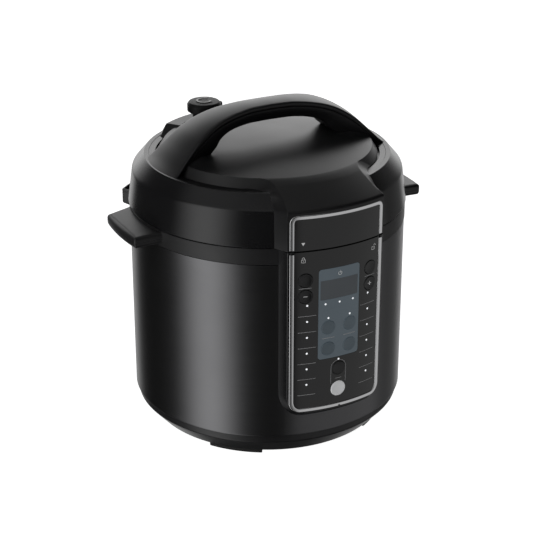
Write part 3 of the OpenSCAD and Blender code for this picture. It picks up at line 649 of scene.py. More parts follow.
def make_ring():
    z0, z1 = SHELL_Z1, RING_Z1
    bm = bmesh.new()
    prof = [(SHELL_R - 1.3, z0 - 8, 0.3), (SHELL_R - 1.3, z0 + 0.35, 0.2), (RING_R, z0 + 0.35, 0.5),
            (RING_R, z1, 0.9), (RING_R - 3, z1, 0.7), (RING_R - 3, z1 - 2.6, 0.3),
            (RING_R - 4, z1 - 2.6, 0.3), (RING_R - 4, z0 - 8, 0.3)]
    revolve(bm, fillet(prof, True, 4), 240)
    return build(bm, "upper_ring_band", "body", "cooker_body", ["upper_ring"])


def make_side_handle(side, name, node):
    """A flat moulded grip: root on the ring, drafted sides, nearly square corners and a bulged outer edge"""
    tip = hi("side_handle_right").x
    z1 = hi("side_handle_right").z
    root = RING_R - 1.0
    spread = math.asin(41.5 / root)
    edge = [(root * cos(spread), 41.5), (138.2, 40.9, 1.5), (141.5, 40.1, 2), (tip - 2.5, 36.2, 2.2),
            (tip - 1.1, 24), (tip - 0.3, 12)]
    mirrored = [(p[0], -p[1], *p[2:]) for p in edge]
    chain = fillet(mirrored + [(tip, 0)] + edge[::-1], False, 6)
    arc = [Vector((root * cos(spread * (1 - k / 8)), root * sin(spread * (1 - k / 8))))
           for k in range(1, 16)]
    pts = chain + arc
    bm = bmesh.new()
    levels = []
    # (inset, depth below the top): a bar with a round front, a fine parting line and a flatter underside
    for off, dep in ((3.4, 0.0), (2.0, 0.25), (1.0, 0.85), (0.35, 1.8), (0.05, 3.1), (0.0, 5.9),
                     (0.28, 6.1), (0.28, 6.4), (0.0, 6.6), (0.15, 8.6), (0.6, 10.2), (1.5, 11.4),
                     (2.8, 12.0)):
        moved = inset(pts, off)
        ring = []
        for i, p in enumerate(pts):
            if 0 < i < len(chain) - 1:
                q = moved[i]
            else:
                t = atan2(p.y, p.x) * (1 - off / 41.5)
                q = Vector((root * cos(t), root * sin(t)))
            ring.append(bm.verts.new((q.x, q.y, z1 - 0.3 - (q.x - RING_R) * 0.105 - dep)))
        levels.append(ring)
    stack(bm, levels)
    if side < 0:
        bmesh.ops.rotate(bm, verts=bm.verts, cent=(0, 0, 0), matrix=Matrix.Rotation(pi, 3, "Z"))
    split_big_faces(bm)
    return build(bm, name, "body", "cooker_body", [node], sharp=50)


# ---------------------------------------------------------------- front panel
def u_path(half, z_top, z_bottom, r):
    """Down the left, round the bottom and up the right, as arc length and height"""
    pts = fillet([(-half, z_top), (-half, z_bottom, r), (half, z_bottom, r), (half, z_top)], False, 9)
    return resample(pts, False, 3.0)


def n_path(half, z_bottom, z_top, r):
    """Up the right, over the top and down the left"""
    pts = fillet([(half, z_bottom), (half, z_top, r), (-half, z_top, r), (-half, z_bottom)], False, 8)
    return resample(pts, False, 3.0)


def make_housing():
    bm = bmesh.new()
    front = PANEL_R * radians(20)
    z_low = HOUSING_Z0 + 7.0
    path = u_path(front, RING_Z1, z_low, 20)
    # the path runs anticlockwise, so an offset to its left is inwards
    section = [(4.4, PANEL_R - 1.3), (4.2, PANEL_R - 0.35), (3.6, PANEL_R), (2.2, PANEL_R),
               (0.9, PANEL_R - 0.02), (0.25, PANEL_R - 0.25), (-0.25, PANEL_R - 0.8), (-3.4, PANEL_R - 5.6),
               (-6.6, RING_R + 1.2), (-7.2, RING_R + 0.3), (-7.3, SHELL_R - 0.6), (4.4, SHELL_R - 0.6)]
    sweep_frame(bm, path, section)
    holes = [circle(s, SEAM + z, r + 0.35, 40) for s, z, r, _ in BUTTONS.values()]
    bed = round_rect(-front + 3.4, z_low + 3.4, front - 3.4, RING_Z1 - 0.4, [16, 16, 0.5, 0.5])
    plate(bm, bed, holes, PANEL_R - 3.9, PANEL_R - 1.35, 0.1)
    # the flat top, seen when the lid is off
    cap = bmesh.new()
    inner, outer = RING_R - 0.4, PANEL_R - 1.0
    top, under_top = RING_Z1 - 0.05, RING_Z1 - 2.6
    cols = []
    for k in range(25):
        a = -90 - 19.4 + 38.8 * k / 24
        cols.append([cap.verts.new((*polar(r, a), z)) for r, z in
                     ((inner, under_top), (outer, under_top), (outer, top), (inner, top))])
    stack(cap, cols)
    join(bm, cap)
    return build(bm, "panel_housing_frame", "housing", "cooker_body", ["panel_housing"],
                 weld=1e-4)


TRIM_SECTION = [(0.0, PANEL_R - 1.0), (0.0, TRIM_R - 0.75), (0.12, TRIM_R - 0.35), (0.5, TRIM_R - 0.05),
                (1.2, TRIM_R), (3.3, TRIM_R), (4.0, TRIM_R - 0.05), (4.38, TRIM_R - 0.35),
                (4.5, TRIM_R - 0.75), (4.5, PANEL_R - 1.0)]
BODY_TRIM = dict(half=51.8, bottom=SEAM - 173.4, r=12.0, top=hi("panel_trim").z)
LID_TRIM = dict(half=51.8, bottom=lo("lid_trim").z, r=7.5, top=hi("lid_trim").z)


def make_trims():
    bm = bmesh.new()
    t = BODY_TRIM
    sweep_frame(bm, u_path(t["half"], t["top"], t["bottom"], t["r"]), TRIM_SECTION)
    build(bm, "panel_trim_band", "chrome", "cooker_body", ["panel_trim"], sharp=60)
    # the small joint at the middle of the bottom
    bm = bmesh.new()
    notch = round_rect(0.2, t["bottom"] - 0.2, 2.6, t["bottom"] + 2.2, [0.3, 0.3, 1.1, 1.1], 4)
    plate(bm, notch, [], TRIM_R - 1.0, TRIM_R + 0.12, 0.1)
    build(bm, "trim_joint", "housing", "cooker_body", ())
    bm = bmesh.new()
    t = LID_TRIM
    sweep_frame(bm, n_path(t["half"], t["bottom"], t["top"], t["r"]), TRIM_SECTION)
    build(bm, "lid_trim_band", "chrome", "lid", ["lid_trim"], sharp=60)


# arc length from the middle, height above the seam, radius and material of each button
BUTTONS = {
    "cancel": (-36, -30.2, 7.2, "button"), "minus": (-36, -47.2, 7.2, "button"),
    "start": (36, -30.2, 7.2, "button"), "plus": (36, -47.2, 7.2, "button"),
    "pressure": (-11.9, -83.5, 7.2, "button_blue"), "timer": (11.9, -83.5, 7.2, "button_blue"),
    "level": (-11.9, -106.4, 7.2, "button_blue"), "temperature": (11.9, -106.4, 7.2, "button_blue"),
    "keep_warm": (0, -130, 7.2, "button"), "menu": (0, -152.9, 8.0, "button_white"),
}
WINDOW_HALF, WINDOW_Z0, WINDOW_Z1 = 22.6, SEAM - 117.5, SEAM - 21
SCREEN_HALF, SCREEN_Z0, SCREEN_Z1 = 20.6, SEAM - 53.5, SEAM - 33


def button_holes(in_window):
    return [circle(s, SEAM + z, r + 0.25, 40) for s, z, r, m in BUTTONS.values()
            if (m == "button_blue") == in_window]


def make_overlay():
    bm = bmesh.new()
    half = BODY_TRIM["half"] - 4.3
    outline = round_rect(-half, BODY_TRIM["bottom"] + 4.3, half, RING_Z1 - 0.3, [8, 8, 0.4, 0.4], 8)
    holes = button_holes(False) + [round_rect(-WINDOW_HALF, WINDOW_Z0, WINDOW_HALF, WINDOW_Z1, [3] * 4)]
    plate(bm, outline, holes, PANEL_R - 1.2, PANEL_R, 0.18)
    build(bm, "panel_glass", "glass", "cooker_body", ["panel_overlay"])
    bm = bmesh.new()
    x, z0, z1 = WINDOW_HALF - 0.1, WINDOW_Z0 + 0.1, WINDOW_Z1 - 0.1
    holes = button_holes(True) + [round_rect(-SCREEN_HALF, SCREEN_Z0, SCREEN_HALF, SCREEN_Z1, [0.8] * 4)]
    plate(bm, round_rect(-x, z0, x, z1, [3] * 4), holes, PANEL_R - 1.2, PANEL_R + 0.02, 0.12)
    build(bm, "display_window_tint", "window", "cooker_body", ["display_window"])
    bm = bmesh.new()
    x, z0, z1 = SCREEN_HALF - 0.05, SCREEN_Z0 + 0.05, SCREEN_Z1 - 0.05
    plate(bm, round_rect(-x, z0, x, z1, [0.8] * 4), [], PANEL_R - 1.1, PANEL_R - 0.12, 0.1)
    build(bm, "display_lens", "screen", "cooker_body", ())
    bm = bmesh.new()
    half = LID_TRIM["half"] - 4.3
    outline = round_rect(-half, LID_Z0 + 0.3, half, LID_TRIM["top"] - 4.3, [0.4, 0.4, 3.2, 3.2], 7)
    plate(bm, outline, [], PANEL_R - 1.2, PANEL_R + 0.16, 0.15)
    build(bm, "lid_plate_glass", "glass", "lid", ["lid_front_plate"])


def make_buttons():
    high = 0.55
    for name, (s, z, r, mat) in BUTTONS.items():
        bm = bmesh.new()
        prof = [(0.01, high - 0.42), (r * 0.35, high - 0.38), (r * 0.62, high - 0.24),
                (r * 0.8, high - 0.06), (r * 0.9, high), (r - 0.28, high - 0.06), (r - 0.05, high - 0.35),
                (r, high - 0.8), (r, -3.2), (0.01, -3.2)]
        revolve(bm, prof, 48)
        set_in_front(bm, s, z)
        build(bm, name + "_cap", mat, name + "_key", [name + "_button"], weld=0.05, sharp=50)


PROGRAMME_S, PROGRAMME_Z, PROGRAMME_STEP = 34, -57, 17.2


def make_lights():
    dots = [(side * PROGRAMME_S, PROGRAMME_Z - PROGRAMME_STEP * i) for side in (-1, 1) for i in range(6)]
    dots += [(0, -120.3), (-15.2, -58), (0, -58), (15.2, -58), (-11.9, -73.4), (11.9, -73.4)]
    bm = bmesh.new()
    for s, z in dots:
        dot = bmesh.new()
        lens = [(0.01, 0.30), (0.55, 0.25), (0.92, 0.1), (1.08, -0.1), (1.08, -1.6), (0.01, -1.6)]
        revolve(dot, lens, 20)
        set_in_front(dot, s, z)
        join(bm, dot)
    return build(bm, "indicator_dots", "led", "cooker_body", ["indicator_lights"],
                 weld=0.02)


def arc_pts(s, z, r, a0, a1, n=14):
    turns = [a0 + (a1 - a0) * k / n for k in range(n + 1)]
    return [Vector((s, z)) + Vector(polar(r, a)) for a in turns]


def padlock(bm, s, z, r0, r1, opened):
    """A small outlined padlock; an open one has its bow beside the body"""
    shift = 1.9 if opened else 0.0
    body = [(s - 1.9, z - 1.9, 0.6), (s + 1.9, z - 1.9, 0.6), (s + 1.9, z + 1.2, 0.6),
            (s - 1.9, z + 1.2, 0.6)]
    start = Vector((s - 1.2 + shift, z + (2.2 if opened else 1.2)))
    bow = [start] + arc_pts(s + shift, z + 2.3, 1.2, 180, 0, 10)
    bow.append(Vector((s + 1.2 + shift, z + (2.0 if opened else 1.2))))
    stroke(bm, fillet(body, True, 3), 0.36, r0, r1, True)
    stroke(bm, bow, 0.36, r0, r1)
    stroke(bm, [(s, z + 0.2), (s, z - 0.9)], 0.36, r0, r1)


def make_marks():
    r0, r1 = PANEL_R - 0.1, PANEL_R + 0.08
    bm = bmesh.new()
    # underline under each programme light
    for side in (-1, 1):
        for i in range(6):
            s, z = side * PROGRAMME_S, SEAM + PROGRAMME_Z - PROGRAMME_STEP * i - 11.2
            stroke(bm, [(s - 9.2, z), (s + 9.2, z)], 0.42, r0, r1)
    # dividers between pairs of keys
    for s in (-36, 36):
        stroke(bm, [(s - 6.4, SEAM - 38.6), (s + 6.4, SEAM - 38.6)], 0.42, r0, r1)
    for s in (-11.9, 11.9):
        stroke(bm, [(s - 6.8, SEAM - 94.9), (s + 6.8, SEAM - 94.9)], 0.55, r0 + 0.02, r1 + 0.02)
    stroke(bm, [(-3.6, SEAM - 141.2), (3.6, SEAM - 141.2)], 0.38, r0, r1)
    # the outline that joins the keep warm light, its key and the round white key
    z = SEAM - 146.5
    arch = [Vector((-8.3, z))] + arc_pts(0, SEAM - 129.4, 8.3, 180, 0, 18) + [Vector((8.3, z))]
    stroke(bm, arch, 0.35, r0, r1)
    build(bm, "panel_lines", "mark_grey", "cooker_body", ())
    bm = bmesh.new()
    padlock(bm, -38.3, SEAM - 9.6, r0, r1, False)
    padlock(bm, 39.6, SEAM - 10.6, r0, r1, True)
    # power sign in the window
    stroke(bm, arc_pts(0, SEAM - 27.4, 1.9, 128, 412, 20), 0.4, r0 + 0.02, r1 + 0.02)
    stroke(bm, [(0, SEAM - 25.1), (0, SEAM - 27.3)], 0.4, r0 + 0.02, r1 + 0.02)
    build(bm, "panel_signs", "mark", "cooker_body", ())
    # arrow on the lid that points at the padlocks
    bm = bmesh.new()
    arrow = [Vector((-40.4, SEAM + 9.2)), Vector((-38.6, SEAM + 6.0)), Vector((-36.8, SEAM + 9.2))]
    plate(bm, arrow, [], PANEL_R, PANEL_R + 0.26, 0.03)
    build(bm, "lid_arrow", "mark", "lid", ())
    # signs moulded on the keys
    for name in ("minus", "plus"):
        s, z = BUTTONS[name][:2]
        bm = bmesh.new()
        stroke(bm, [(s - 2.0, SEAM + z), (s + 2.0, SEAM + z)], 0.5, r0, PANEL_R + 0.3)
        if name == "plus":
            stroke(bm, [(s, SEAM + z - 2.0), (s, SEAM + z + 2.0)], 0.5, r0, PANEL_R + 0.3)
        build(bm, name + "_sign", "mark", name + "_key", ())


# ---------------------------------------------------------------- lid
def make_lid_shell():
    bm = bmesh.new()
    z = RIM_Z
    prof = [(LID_R - 2.5, LID_Z0, 0.5), (LID_R, LID_Z0, 0.7), (SKIRT_R, SKIRT_Z, 8), (RIM_R, z, 0.9),
            (121.2, z - 0.15, 0.3), (120.9, z - 0.5, 0.2), (114.6, z - 0.8, 0.6), (114.2, z - 3.4, 0.3),
            (108, z - 3.4, 0.4), (108, z - 5.2, 0.4), (RIM_R - 1.8, z - 4.6, 1.0),
            (SKIRT_R - 2.9, SKIRT_Z - 1.4, 3.0)]
    revolve(bm, fillet(prof, True, 5), 288)
    return build(bm, "lid_skirt", "lid", "lid", ["lid_shell"], sharp=38)


def dome_z(r):
    big = (COVER_EDGE_R ** 2 + 49) / 14
    return DOME_Z - (big - sqrt(big * big - r * r))


# the handle along its length: height of its ridge and of its underside over the seam, and its half width
spine = pchip([(0, 103), (20, 102.6), (36, 101), (52, 98), (69, 92.6), (86, 83), (104, 66.6), (117, 54.6),
               (125.8, 49.4), (140, 42)])
width = pchip([(0, 14), (20, 14.6), (36, 16.5), (65, 21), (85, 26), (104, 31), (126, 36.2), (140, 38)])
under = pchip([(0, 84), (25, 83.7), (40, 82.4), (52, 80), (63, 75.8), (72, 70.6), (80, 64.4), (87, 57.6),
               (96, 51.6), (126, 44), (140, 40)])
FLANK = 5.5


def leg_distance(x, y):
    """How far a point of the cover is outside the foot of a handle leg"""
    dx = max(0.0, 88.5 - abs(x))
    dy = max(0.0, abs(y) - (width(max(abs(x), 88.5)) - FLANK - 1.0))
    return hypot(dx * 0.62, dy)


def cover_z(x, y):
    r = hypot(x, y)
    z = dome_z(min(r, COVER_EDGE_R))
    reach = 13.0
    d = leg_distance(x, y)
    if d < reach:
        rise = reach - sqrt(max(0.0, reach * reach - (reach - d) ** 2))
        z += rise * (1 - 0.75 * smooth(96, COVER_EDGE_R, r))
    return z


# the tongue by radius: half width in degrees at its top and at its foot, and height over the seam
tongue_top = pchip([(107, 31.0), (108.2, 28.7), (110.4, 26.6), (113.5, 24.9), (119, 23.3), (126, 22.1),
                    (134, 21.1), (143, 20.45), (154.3, 20.0)])
tongue_foot = pchip([(113, 37.5), (113.9, 34.0), (116.2, 31.0), (120, 28.7), (126, 26.9), (134, 25.6),
                     (143.3, 24.6)])
tongue_z = pchip([(107, 58.0), (110, 57.35), (113, 56.5), (116, 55.55), (118, 54.9), (119.5, 54.35),
                  (121, 53.75), (123, 52.98), (126, 51.82), (134, 48.75), (143, 45.3), (151.6, 42.0)])
TONGUE_ROOT = 31            # degrees to each side of the front where the tongue leaves the dome
FOOT_DROP = RIM_Z - 1.2     # height of the cover's foot round the lid's rim


def cone_z(r):
    """The lid skirt's surface under the edge of the cover"""
    if r <= RIM_R:
        return RIM_Z - 0.6
    return RIM_Z - (r - RIM_R) * CONE - 0.9


def skirt_r(z):
    """The lid's outer radius at a height below the rim"""
    if z > SKIRT_Z:
        return RIM_R + (RIM_Z - z) / CONE
    return LID_R - (z - LID_Z0) * (LID_R - SKIRT_R) / (SKIRT_Z - LID_Z0)


def tongue_rows():
    """(radius, half width in degrees, height) of each row across the tongue, out from the dome and down"""
    rows = [(r, tongue_top(r), SEAM + tongue_z(r)) for r in
            (108.2, 110.4, 113.5, 116, 118, 119.5, 121, 123, 126, 130, 134, 138.5, 143, 147, 151.6)]
    rows += [(152.9, 20.04, SEAM + 41.35), (153.75, 20.01, SEAM + 40.6), (154.2, 20.0, SEAM + 39.6)]
    rows += [(PANEL_R, 20.0, SEAM + dz) for dz in (38.3, 35, 25, 15, 8, 3.5, 1.6)]
    return rows + [(PANEL_R - 0.2, 20.0, LID_Z0 + 0.25), (PANEL_R - 0.9, 20.0, LID_Z0),
                   (PANEL_R - 3.0, 20.05, LID_Z0)]


def chamfer_foot(r, z):
    """(radius, degrees, height) where the side of the tongue meets the lid, for the row at r and z"""
    if z >= SEAM + 39:
        even = 113 + (LID_R - 113) * min(1, (r - 107) / (153.75 - 107))
        foot_r = even if even < RIM_R else RIM_R + (even - RIM_R) * 0.61
        return foot_r, tongue_foot(even), cone_z(foot_r)
    z = min(z, SEAM + 36)
    return skirt_r(z) - 0.6, 24.6, z


def make_cover():
    """The dome, the tongue that runs down to the front plate, and the chamfer round both"""
    bm = bmesh.new()
    radii = [4, 9, 14, 20, 26, 32, 38, 44, 50, 55, 60, 64, 68, 71, 74, 77, 79.5, 82, 84.5, 87, 89.5, 92,
             94.5, 97, 99, 101, 103, 104.6, 105.8, 106.5, 107]
    rows = []
    for r in radii:
        ring = [polar(r, a) for a in range(360)]
        rows.append([bm.verts.new((x, y, cover_z(x, y))) for x, y in ring])
    centre = bm.verts.new((0, 0, cover_z(0, 0)))
    for i in range(360):
        bm.faces.new((centre, rows[0][i], rows[0][(i + 1) % 360]))
    for a, b in zip(rows, rows[1:]):
        strip(bm, a, b, True)
    rim = rows[-1]
    first, last = 270 - TONGUE_ROOT, 270 + TONGUE_ROOT
    tongue = [rim[first:last + 1]]
    for r, half, z in tongue_rows():
        n = len(tongue[0]) - 1
        row = [bm.verts.new((*polar(r, 270 + half * (2 * k / n - 1)), z)) for k in range(n + 1)]
        strip(bm, tongue[-1], row)
        tongue.append(row)
    # the edge and its foot: from the front's lower left, up the tongue, round the back and down the right
    feet = [chamfer_foot(r, z) for r, z in [(107, SEAM + 58)] + [(r, z) for r, _, z in tongue_rows()]]
    edge = [(row[0], (*polar(r, 270 - a), z)) for row, (r, a, z) in zip(tongue, feet)][::-1]
    for a in range(first - 1, last - 360, -1):
        from_front = degrees(wrap(radians(a - 270)))
        spread = 6.5 * (1 - smooth(TONGUE_ROOT, 44, abs(from_front)))
        foot = polar(COVER_R, a + (-spread if from_front < 0 else spread))
        edge.append((rim[a % 360], (*foot, FOOT_DROP)))
    edge += [(row[-1], (*polar(r, 270 + a), z)) for row, (r, a, z) in zip(tongue, feet)]
    top = [v for v, _ in edge]
    lines = [top]
    for f in (0.12, 0.5, 1.0):
        lines.append([bm.verts.new(v.co.lerp(Vector(q), f)) for v, q in edge])
        strip(bm, lines[-2], lines[-1])
    hem = [bm.verts.new((v.co.x * 0.998, v.co.y * 0.998, v.co.z - 1.6)) for v in lines[-1]]
    strip(bm, lines[-1], hem)
    rounded = [e for e in (bm.edges.get((a, b)) for a, b in zip(top, top[1:])) if e]
    bmesh.ops.bevel(bm, geom=rounded, offset=1.1, offset_type="OFFSET", segments=3, profile=0.5,
                    affect="EDGES", clamp_overlap=True)
    return build(bm, "lid_dome_cover", "dome", "lid", ["lid_cover"], sharp=40)


def make_island():
    """The raised island at the back that carries the valve knob and the float valve"""
    top, rim, foot = SEAM + 60, RIM_Z - 0.9, RIM_Z - 2.2
    half, flare = 36.0, 6.5
    radii = [88, 94, 100, 106, 112, 117.5, 119, 125.3]
    bm = bmesh.new()
    cols = []
    for a in [-(half + flare)] + [-half + half * 2 * k / 40 for k in range(41)] + [half + flare]:
        col = []
        for r in radii:
            outside = abs(a) > half
            z = rim if outside or r == radii[-1] else min(top, dome_z(88) - 1.2) if r == radii[0] else top
            turn = a * 0.985 if outside and r > 119 else a
            col.append(bm.verts.new((*polar(r, 90 - turn), z)))
        cols.append(col)
    for a, b in zip(cols, cols[1:]):
        strip(bm, a, b)
    ring = [c[0] for c in cols] + cols[-1][1:]
    ring += [c[-1] for c in reversed(cols[:-1])] + list(reversed(cols[0][1:-1]))
    base = [bm.verts.new((v.co.x, v.co.y, foot)) for v in ring]
    strip(bm, ring, base, True)
    bm.faces.new(base)
    split_big_faces(bm)
    ob = build(bm, "valve_island", "dome", "lid", (), bevel=0.9, bevel_angle=12, sharp=40)
    return carve(ob, [(circle(*FLOAT_XY, 4.0), RIM_Z - 8, SEAM + 64)])


# ---------------------------------------------------------------- handle
def slope(f, x):
    return f(x + 0.5) - f(x - 0.5) if x > 0.5 else 0.0


def handle_point(x, y, depth, upright):
    """A point under the handle's spine: depth along its normal, or straight down where upright is 1"""
    ax = abs(x)
    g = slope(spine, ax)
    k = sqrt(1 + g * g)
    nx, nz = -g / k, 1 / k
    nx, nz = nx * (1 - upright), nz * (1 - upright) + upright
    s = 1 if x >= 0 else -1
    return Vector((s * (ax - nx * depth), y, SEAM + spine(ax) - nz * depth))


END_R = 125.7


def handle_x(t, y):
    x = END_R * t
    k = smooth(0.80, 1.0, abs(t))
    e = sqrt(END_R ** 2 - y * y) - END_R
    return x + (e * k if t > 0 else -e * k)


def upper_section(w, crown, lip):
    """Half of the upper moulding's section, as (distance from the middle, depth)"""
    e = 1.5
    steps = [(w - e) * k / 8 for k in range(9)]
    return [(y, crown * (y / w) ** 2) for y in steps] + [
        (w - e * 0.45, crown + 0.18), (w - e * 0.12, crown + 0.65), (w, crown + 1.4),
        (w, crown + lip - 0.3),
        (w - 0.25, crown + lip), (w - 1.4, crown + lip), (w * 0.5, crown + lip)]


def lower_section(w, top, h):
    """Half of the lower moulding's section: a groove under the upper one, then a flank that draws in"""
    return [(0, top), (w - 2.6, top), (w - 2.5, top + 1.1), (w - 1.5, top + 1.4), (w - 1.1, top + 1.9),
            (w - 1.15, top + min(3.4, h * 0.34)), (w - 1.6, top + h * 0.42),
            (w - FLANK * 0.62, top + h * 0.62), (w - FLANK * 0.95, top + h * 0.82),
            (w - FLANK - 0.6, top + h * 0.94), (w - FLANK - 2.0, top + h), (w * 0.4, top + h + 0.2)]


def make_handle():
    count = 128
    upper, lower = bmesh.new(), bmesh.new()
    rows_u, rows_l = [], []
    for k in range(count + 1):
        t = -1 + 2 * k / count
        ax = END_R * abs(t)
        w = width(ax)
        crown = 1.3 + 2.6 * smooth(50, 126, ax)
        lip = 3.6 - 2.1 * smooth(105, 126, ax)
        up = smooth(72, 104, ax)
        half = upper_section(w, crown, lip)
        sec = half + [(-y, d) for y, d in reversed(half[1:])]
        rows_u.append([upper.verts.new(handle_point(handle_x(t, y), y, d, up)) for y, d in sec])
        top = crown + lip - 0.02
        total = (spine(ax) - under(ax)) / ((1 - up) / sqrt(1 + slope(spine, ax) ** 2) + up)
        h = max(total, top + 1.6) - top
        half = lower_section(w, top, h)
        sec = half + [(0, top + h + 0.25)] + [(-y, d) for y, d in reversed(half[1:])]
        rows_l.append([lower.verts.new(handle_point(handle_x(t * (1 - 0.004), y), y, d, up))
                       for y, d in sec])
    for bm, rows in ((upper, rows_u), (lower, rows_l)):
        stack(bm, rows)
        split_big_faces(bm)
    build(upper, "lid_handle_top", "handle", "lid", ["handle_upper"], sharp=50)
    build(lower, "lid_handle_base", "under", "lid", ["handle_lower"], sharp=50)


# ---------------------------------------------------------------- valve knob and float
def make_knob():
    b0, b1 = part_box("steam_knob")
    z0, z1 = b0.z / MM, b1.z / MM
    kx, ky = KNOB_XY
    bm = bmesh.new()
    prof = [(5.06, z0, 0.2), (12, z0, 0.6), (12.6, z0 + 5.2, 0.8), (16.6, z0 + 6.8, 0.8),
            (17.9, z0 + 7.8, 0.8), (18, z1 - 3.6, 0.6), (16.2, z1 - 1.0, 1.6), (0.01, z1 - 0.05),
            (0.01, z1 - 8.5), (5.06, z1 - 8.5)]
    revolve(bm, fillet(prof, True, 5), 96, at=KNOB_XY)
    # the rib that the fingers turn
    rib = bmesh.new()
    pts = fillet([(13, -4.2), (20.8, -3.0, 2.4), (20.8, 3.0, 2.4), (13, 4.2)], True, 6)
    levels = []
    for off, z in ((0.9, z0 + 7.4), (0.0, z0 + 8.3), (0.0, z1 - 4.9), (0.3, z1 - 4.2), (1.0, z1 - 3.9)):
        levels.append([rib.verts.new((kx + (p.x - off if p.x > 14 else p.x), ky + p.y * (1 - off / 6), z))
                       for p in pts])
    stack(rib, levels)
    join(bm, rib)
    build(bm, "steam_knob_cap", "knob", "knob", ["steam_knob"], weld=0.02, sharp=45)
    # a ring arrow on top that shows which way it turns
    mark = bmesh.new()
    low, high = z1 - 0.5, z1 + 0.12
    r, half_w, a0, sweep_deg, steps = 7.4, 1.1, 40, 265, 26
    ring = []
    for k in range(steps + 1):
        a = radians(a0 + sweep_deg * k / steps)
        ring.append([mark.verts.new((kx + q * cos(a), ky + q * sin(a), z)) for q, z in
                     ((r - half_w, low), (r - half_w, high), (r + half_w, high), (r + half_w, low))])
    stack(mark, ring)
    a = radians(a0 + sweep_deg)
    tri = [(q * cos(t), q * sin(t)) for q, t in ((4.6, a), (10.2, a), (r, a + 0.42))]
    stack(mark, [[mark.verts.new((kx + x, ky + y, z)) for x, y in tri] for z in (low, high)])
    build(mark, "knob_arrow", "housing", "knob", ())


def make_float_seat():
    """A small raised collar round the float valve's hole"""
    z = SEAM + 60
    bm = bmesh.new()
    prof = [(4.0, z - 1), (4.0, z + 0.5, 0.3), (6.0, z + 0.5, 0.5), (6.8, z - 1)]
    revolve(bm, fillet(prof, True, 4), 48, at=FLOAT_XY)
    return build(bm, "float_collar", "dome", "lid", ())


# ---------------------------------------------------------------- condensation cup
def make_cup():
    """A small open box with a bulged outer wall, a rolled rim and a floor that slopes towards the shell"""
    b = [v.co.copy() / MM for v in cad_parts["condensation_cup"].data.vertices]
    turns = [atan2(p.y, p.x) for p in b]
    a = (min(turns) + max(turns)) / 2
    half = (max(turns) - min(turns)) / 2
    x0, x1 = min(hypot(p.x, p.y) for p in b), max(hypot(p.x, p.y) for p in b)
    y1 = x1 * sin(half)
    xc = x1 * cos(half)
    z0, z1 = lo("condensation_cup").z, hi("condensation_cup").z
    bm = bmesh.new()

    def ring(ins, z, tilt=0.0):
        c = max(0.4, 2.2 - ins * 0.6)
        pts = fillet([(x0 + ins, -y1 + ins, 1.0), (xc - ins, -y1 + ins, c), (x1 - ins - 0.6, -y1 * 0.5),
                      (x1 - ins, 0), (x1 - ins - 0.6, y1 * 0.5), (xc - ins, y1 - ins, c),
                      (x0 + ins, y1 - ins, 1.0)],
                     True, 5)
        return [bm.verts.new((p.x * cos(a) - p.y * sin(a), p.x * sin(a) + p.y * cos(a),
                              z + tilt * (p.x - x0) * 0.165)) for p in pts]

    # (inset, height, how much of the floor's slope): up the outside, over the rim and down the inside
    levels = [(1.6, z0, 1), (0.7, z0 + 0.25, 1), (0.15, z0 + 0.9, 1), (0, z0 + 1.8, 1), (0, z1 - 3.0),
              (0.3, z1 - 2.8), (0.3, z1 - 2.5), (0, z1 - 2.3), (0, z1 - 0.4), (0.25, z1 - 0.08), (0.5, z1),
              (1.35, z1), (1.6, z1 - 0.12), (1.8, z1 - 0.5), (1.8, z0 + 3.2, 1), (2.6, z0 + 2.0, 1)]
    stack(bm, [ring(*level) for level in levels])
    split_big_faces(bm)
    return build(bm, "condensation_cup_box", "body", "cup", ["condensation_cup"], sharp=45,
                 weld=0.01)


make_base()
make_feet()
make_shell()
make_ring()
make_side_handle(-1, "side_handle_left_grip", "side_handle_left")
make_side_handle(1, "side_handle_right_grip", "side_handle_right")
make_housing()
make_trims()
make_overlay()
make_buttons()
make_lights()
make_marks()
make_lid_shell()
make_cover()
make_island()
make_handle()
make_knob()
make_float_seat()
make_cup()

for node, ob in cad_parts.items():
    if ob.hide_render:
        continue
    ob.data.materials.clear()
    ob.data.materials.append(M[CAD_MATERIAL.get(node, "body")])


# ---------------------------------------------------------------- floor, light and camera
def make_floor():
    bm = bmesh.new()
    bmesh.ops.create_grid(bm, x_segments=2, y_segments=2, size=6.0)
    me = bpy.data.meshes.new("studio_floor")
    bm.to_mesh(me)
    bm.free()
    ob = bpy.data.objects.new("studio_floor", me)
    scene.collection.objects.link(ob)
    m, nt, b = node_tree("studio_white")
    wire(nt, b, {"Base Color": (0.85, 0.85, 0.85, 1), "Roughness": 1.0, "Specular IOR Level": 0.0,
                 "Emission Color": (1, 1, 1, 1), "Emission Strength": 1.0})
    me.materials.append(m)
    ob.visible_diffuse = False
    ob.visible_glossy = False
    ob.visible_transmission = False
    ob.visible_shadow = False
    return ob


make_floor()

world = bpy.data.worlds.new("studio")
scene.world = world
world.use_nodes = True
wt = world.node_tree
wt.nodes.clear()
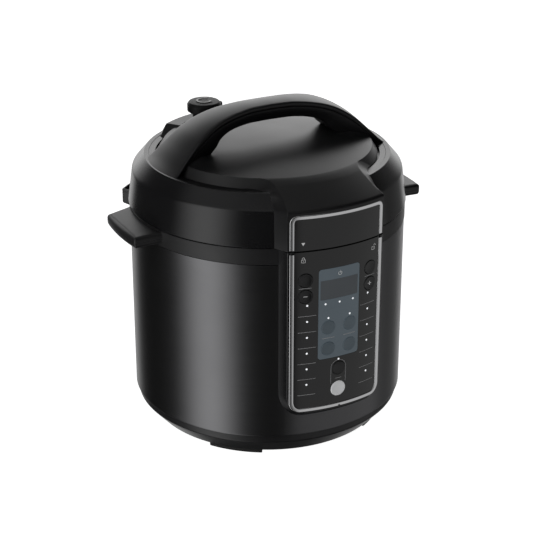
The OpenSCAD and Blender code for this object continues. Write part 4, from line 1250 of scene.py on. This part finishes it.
# the camera sees white; everything else is lit by a dark room with a few soft boxes
seen = add_node(wt, "Background", {"Color": (1, 1, 1, 1)})
light = add_node(wt, "Background", {})
is_camera = add_node(wt, "LightPath", {}).outputs["Is Camera Ray"]
mix = add_node(wt, "MixShader", {0: is_camera, 1: light.outputs[0], 2: seen.outputs[0]})
add_node(wt, "OutputWorld", {"Surface": mix.outputs[0]})
way_x, way_y, way_z = add_node(wt, "SeparateXYZ",
                               {0: add_node(wt, "TexCoord", {}).outputs["Generated"]}).outputs
el = math_node(wt, "MULTIPLY", math_node(wt, "ARCSINE", way_z), 180 / pi)
az = math_node(wt, "MULTIPLY", math_node(wt, "ARCTAN2", way_y, way_x), 180 / pi)


def softbox(centre, inner, outer, el0, el1, soft, power):
    """Light from a band of directions: azimuth centre and half widths, elevations, edge softness"""
    d = math_node(wt, "ABSOLUTE", math_node(wt, "WRAP", math_node(wt, "SUBTRACT", az, centre), 180, -180))
    a = ranged(wt, d, inner, outer, 1, 0, True)
    b = ranged(wt, el, el0 - soft, el0 + soft, 0, 1, True)
    c = ranged(wt, el, el1 - soft, el1 + soft, 1, 0, True)
    return math_node(wt, "MULTIPLY", math_node(wt, "MULTIPLY", a, power), math_node(wt, "MULTIPLY", b, c))


boxes = [
    softbox(68, 20, 50, -5, 36, 8, 1.95),      # white sweep behind, upper part
    softbox(65, 25, 40, -50, -5, 7, 0.9),      # and its lower part
    softbox(-168, 2, 33, -70, 35, 12, 1.9),    # tall box on the left
    softbox(-52, 38, 50, -40, -8, 6, 0.5),     # low card in front
    softbox(12, 12, 28, -45, 25, 10, 0.16),    # weak fill on the right
    softbox(63, 60, 75, 68, 95, 3, 0.55),      # small box overhead
    softbox(-140, 60, 85, 40, 62, 7, 0.42),    # high card in front, seen in the lid's cone
]
total = 0.03
for box in boxes:
    total = math_node(wt, "ADD", total, box)
wire(wt, light, {"Strength": total})

cam = bpy.data.cameras.new("camera")
cam_ob = bpy.data.objects.new("camera", cam)
scene.collection.objects.link(cam_ob)
cam.sensor_width = 36
cam.lens = 103.24
cam.clip_start = 0.05
cam.clip_end = 50
cam_ob.location = (-0.683, -1.335, 0.815)
yaw, pitch = radians(27.1), radians(23.86)
fwd = Vector((sin(yaw) * cos(pitch), cos(yaw) * cos(pitch), -sin(pitch)))
right = Vector((cos(yaw), -sin(yaw), 0))
fwd = (fwd + right * 0.0017).normalized()
cam_ob.rotation_mode = "QUATERNION"
cam_ob.rotation_quaternion = fwd.to_track_quat("-Z", "Y")
scene.camera = cam_ob
scene.view_settings.view_transform = "Standard"
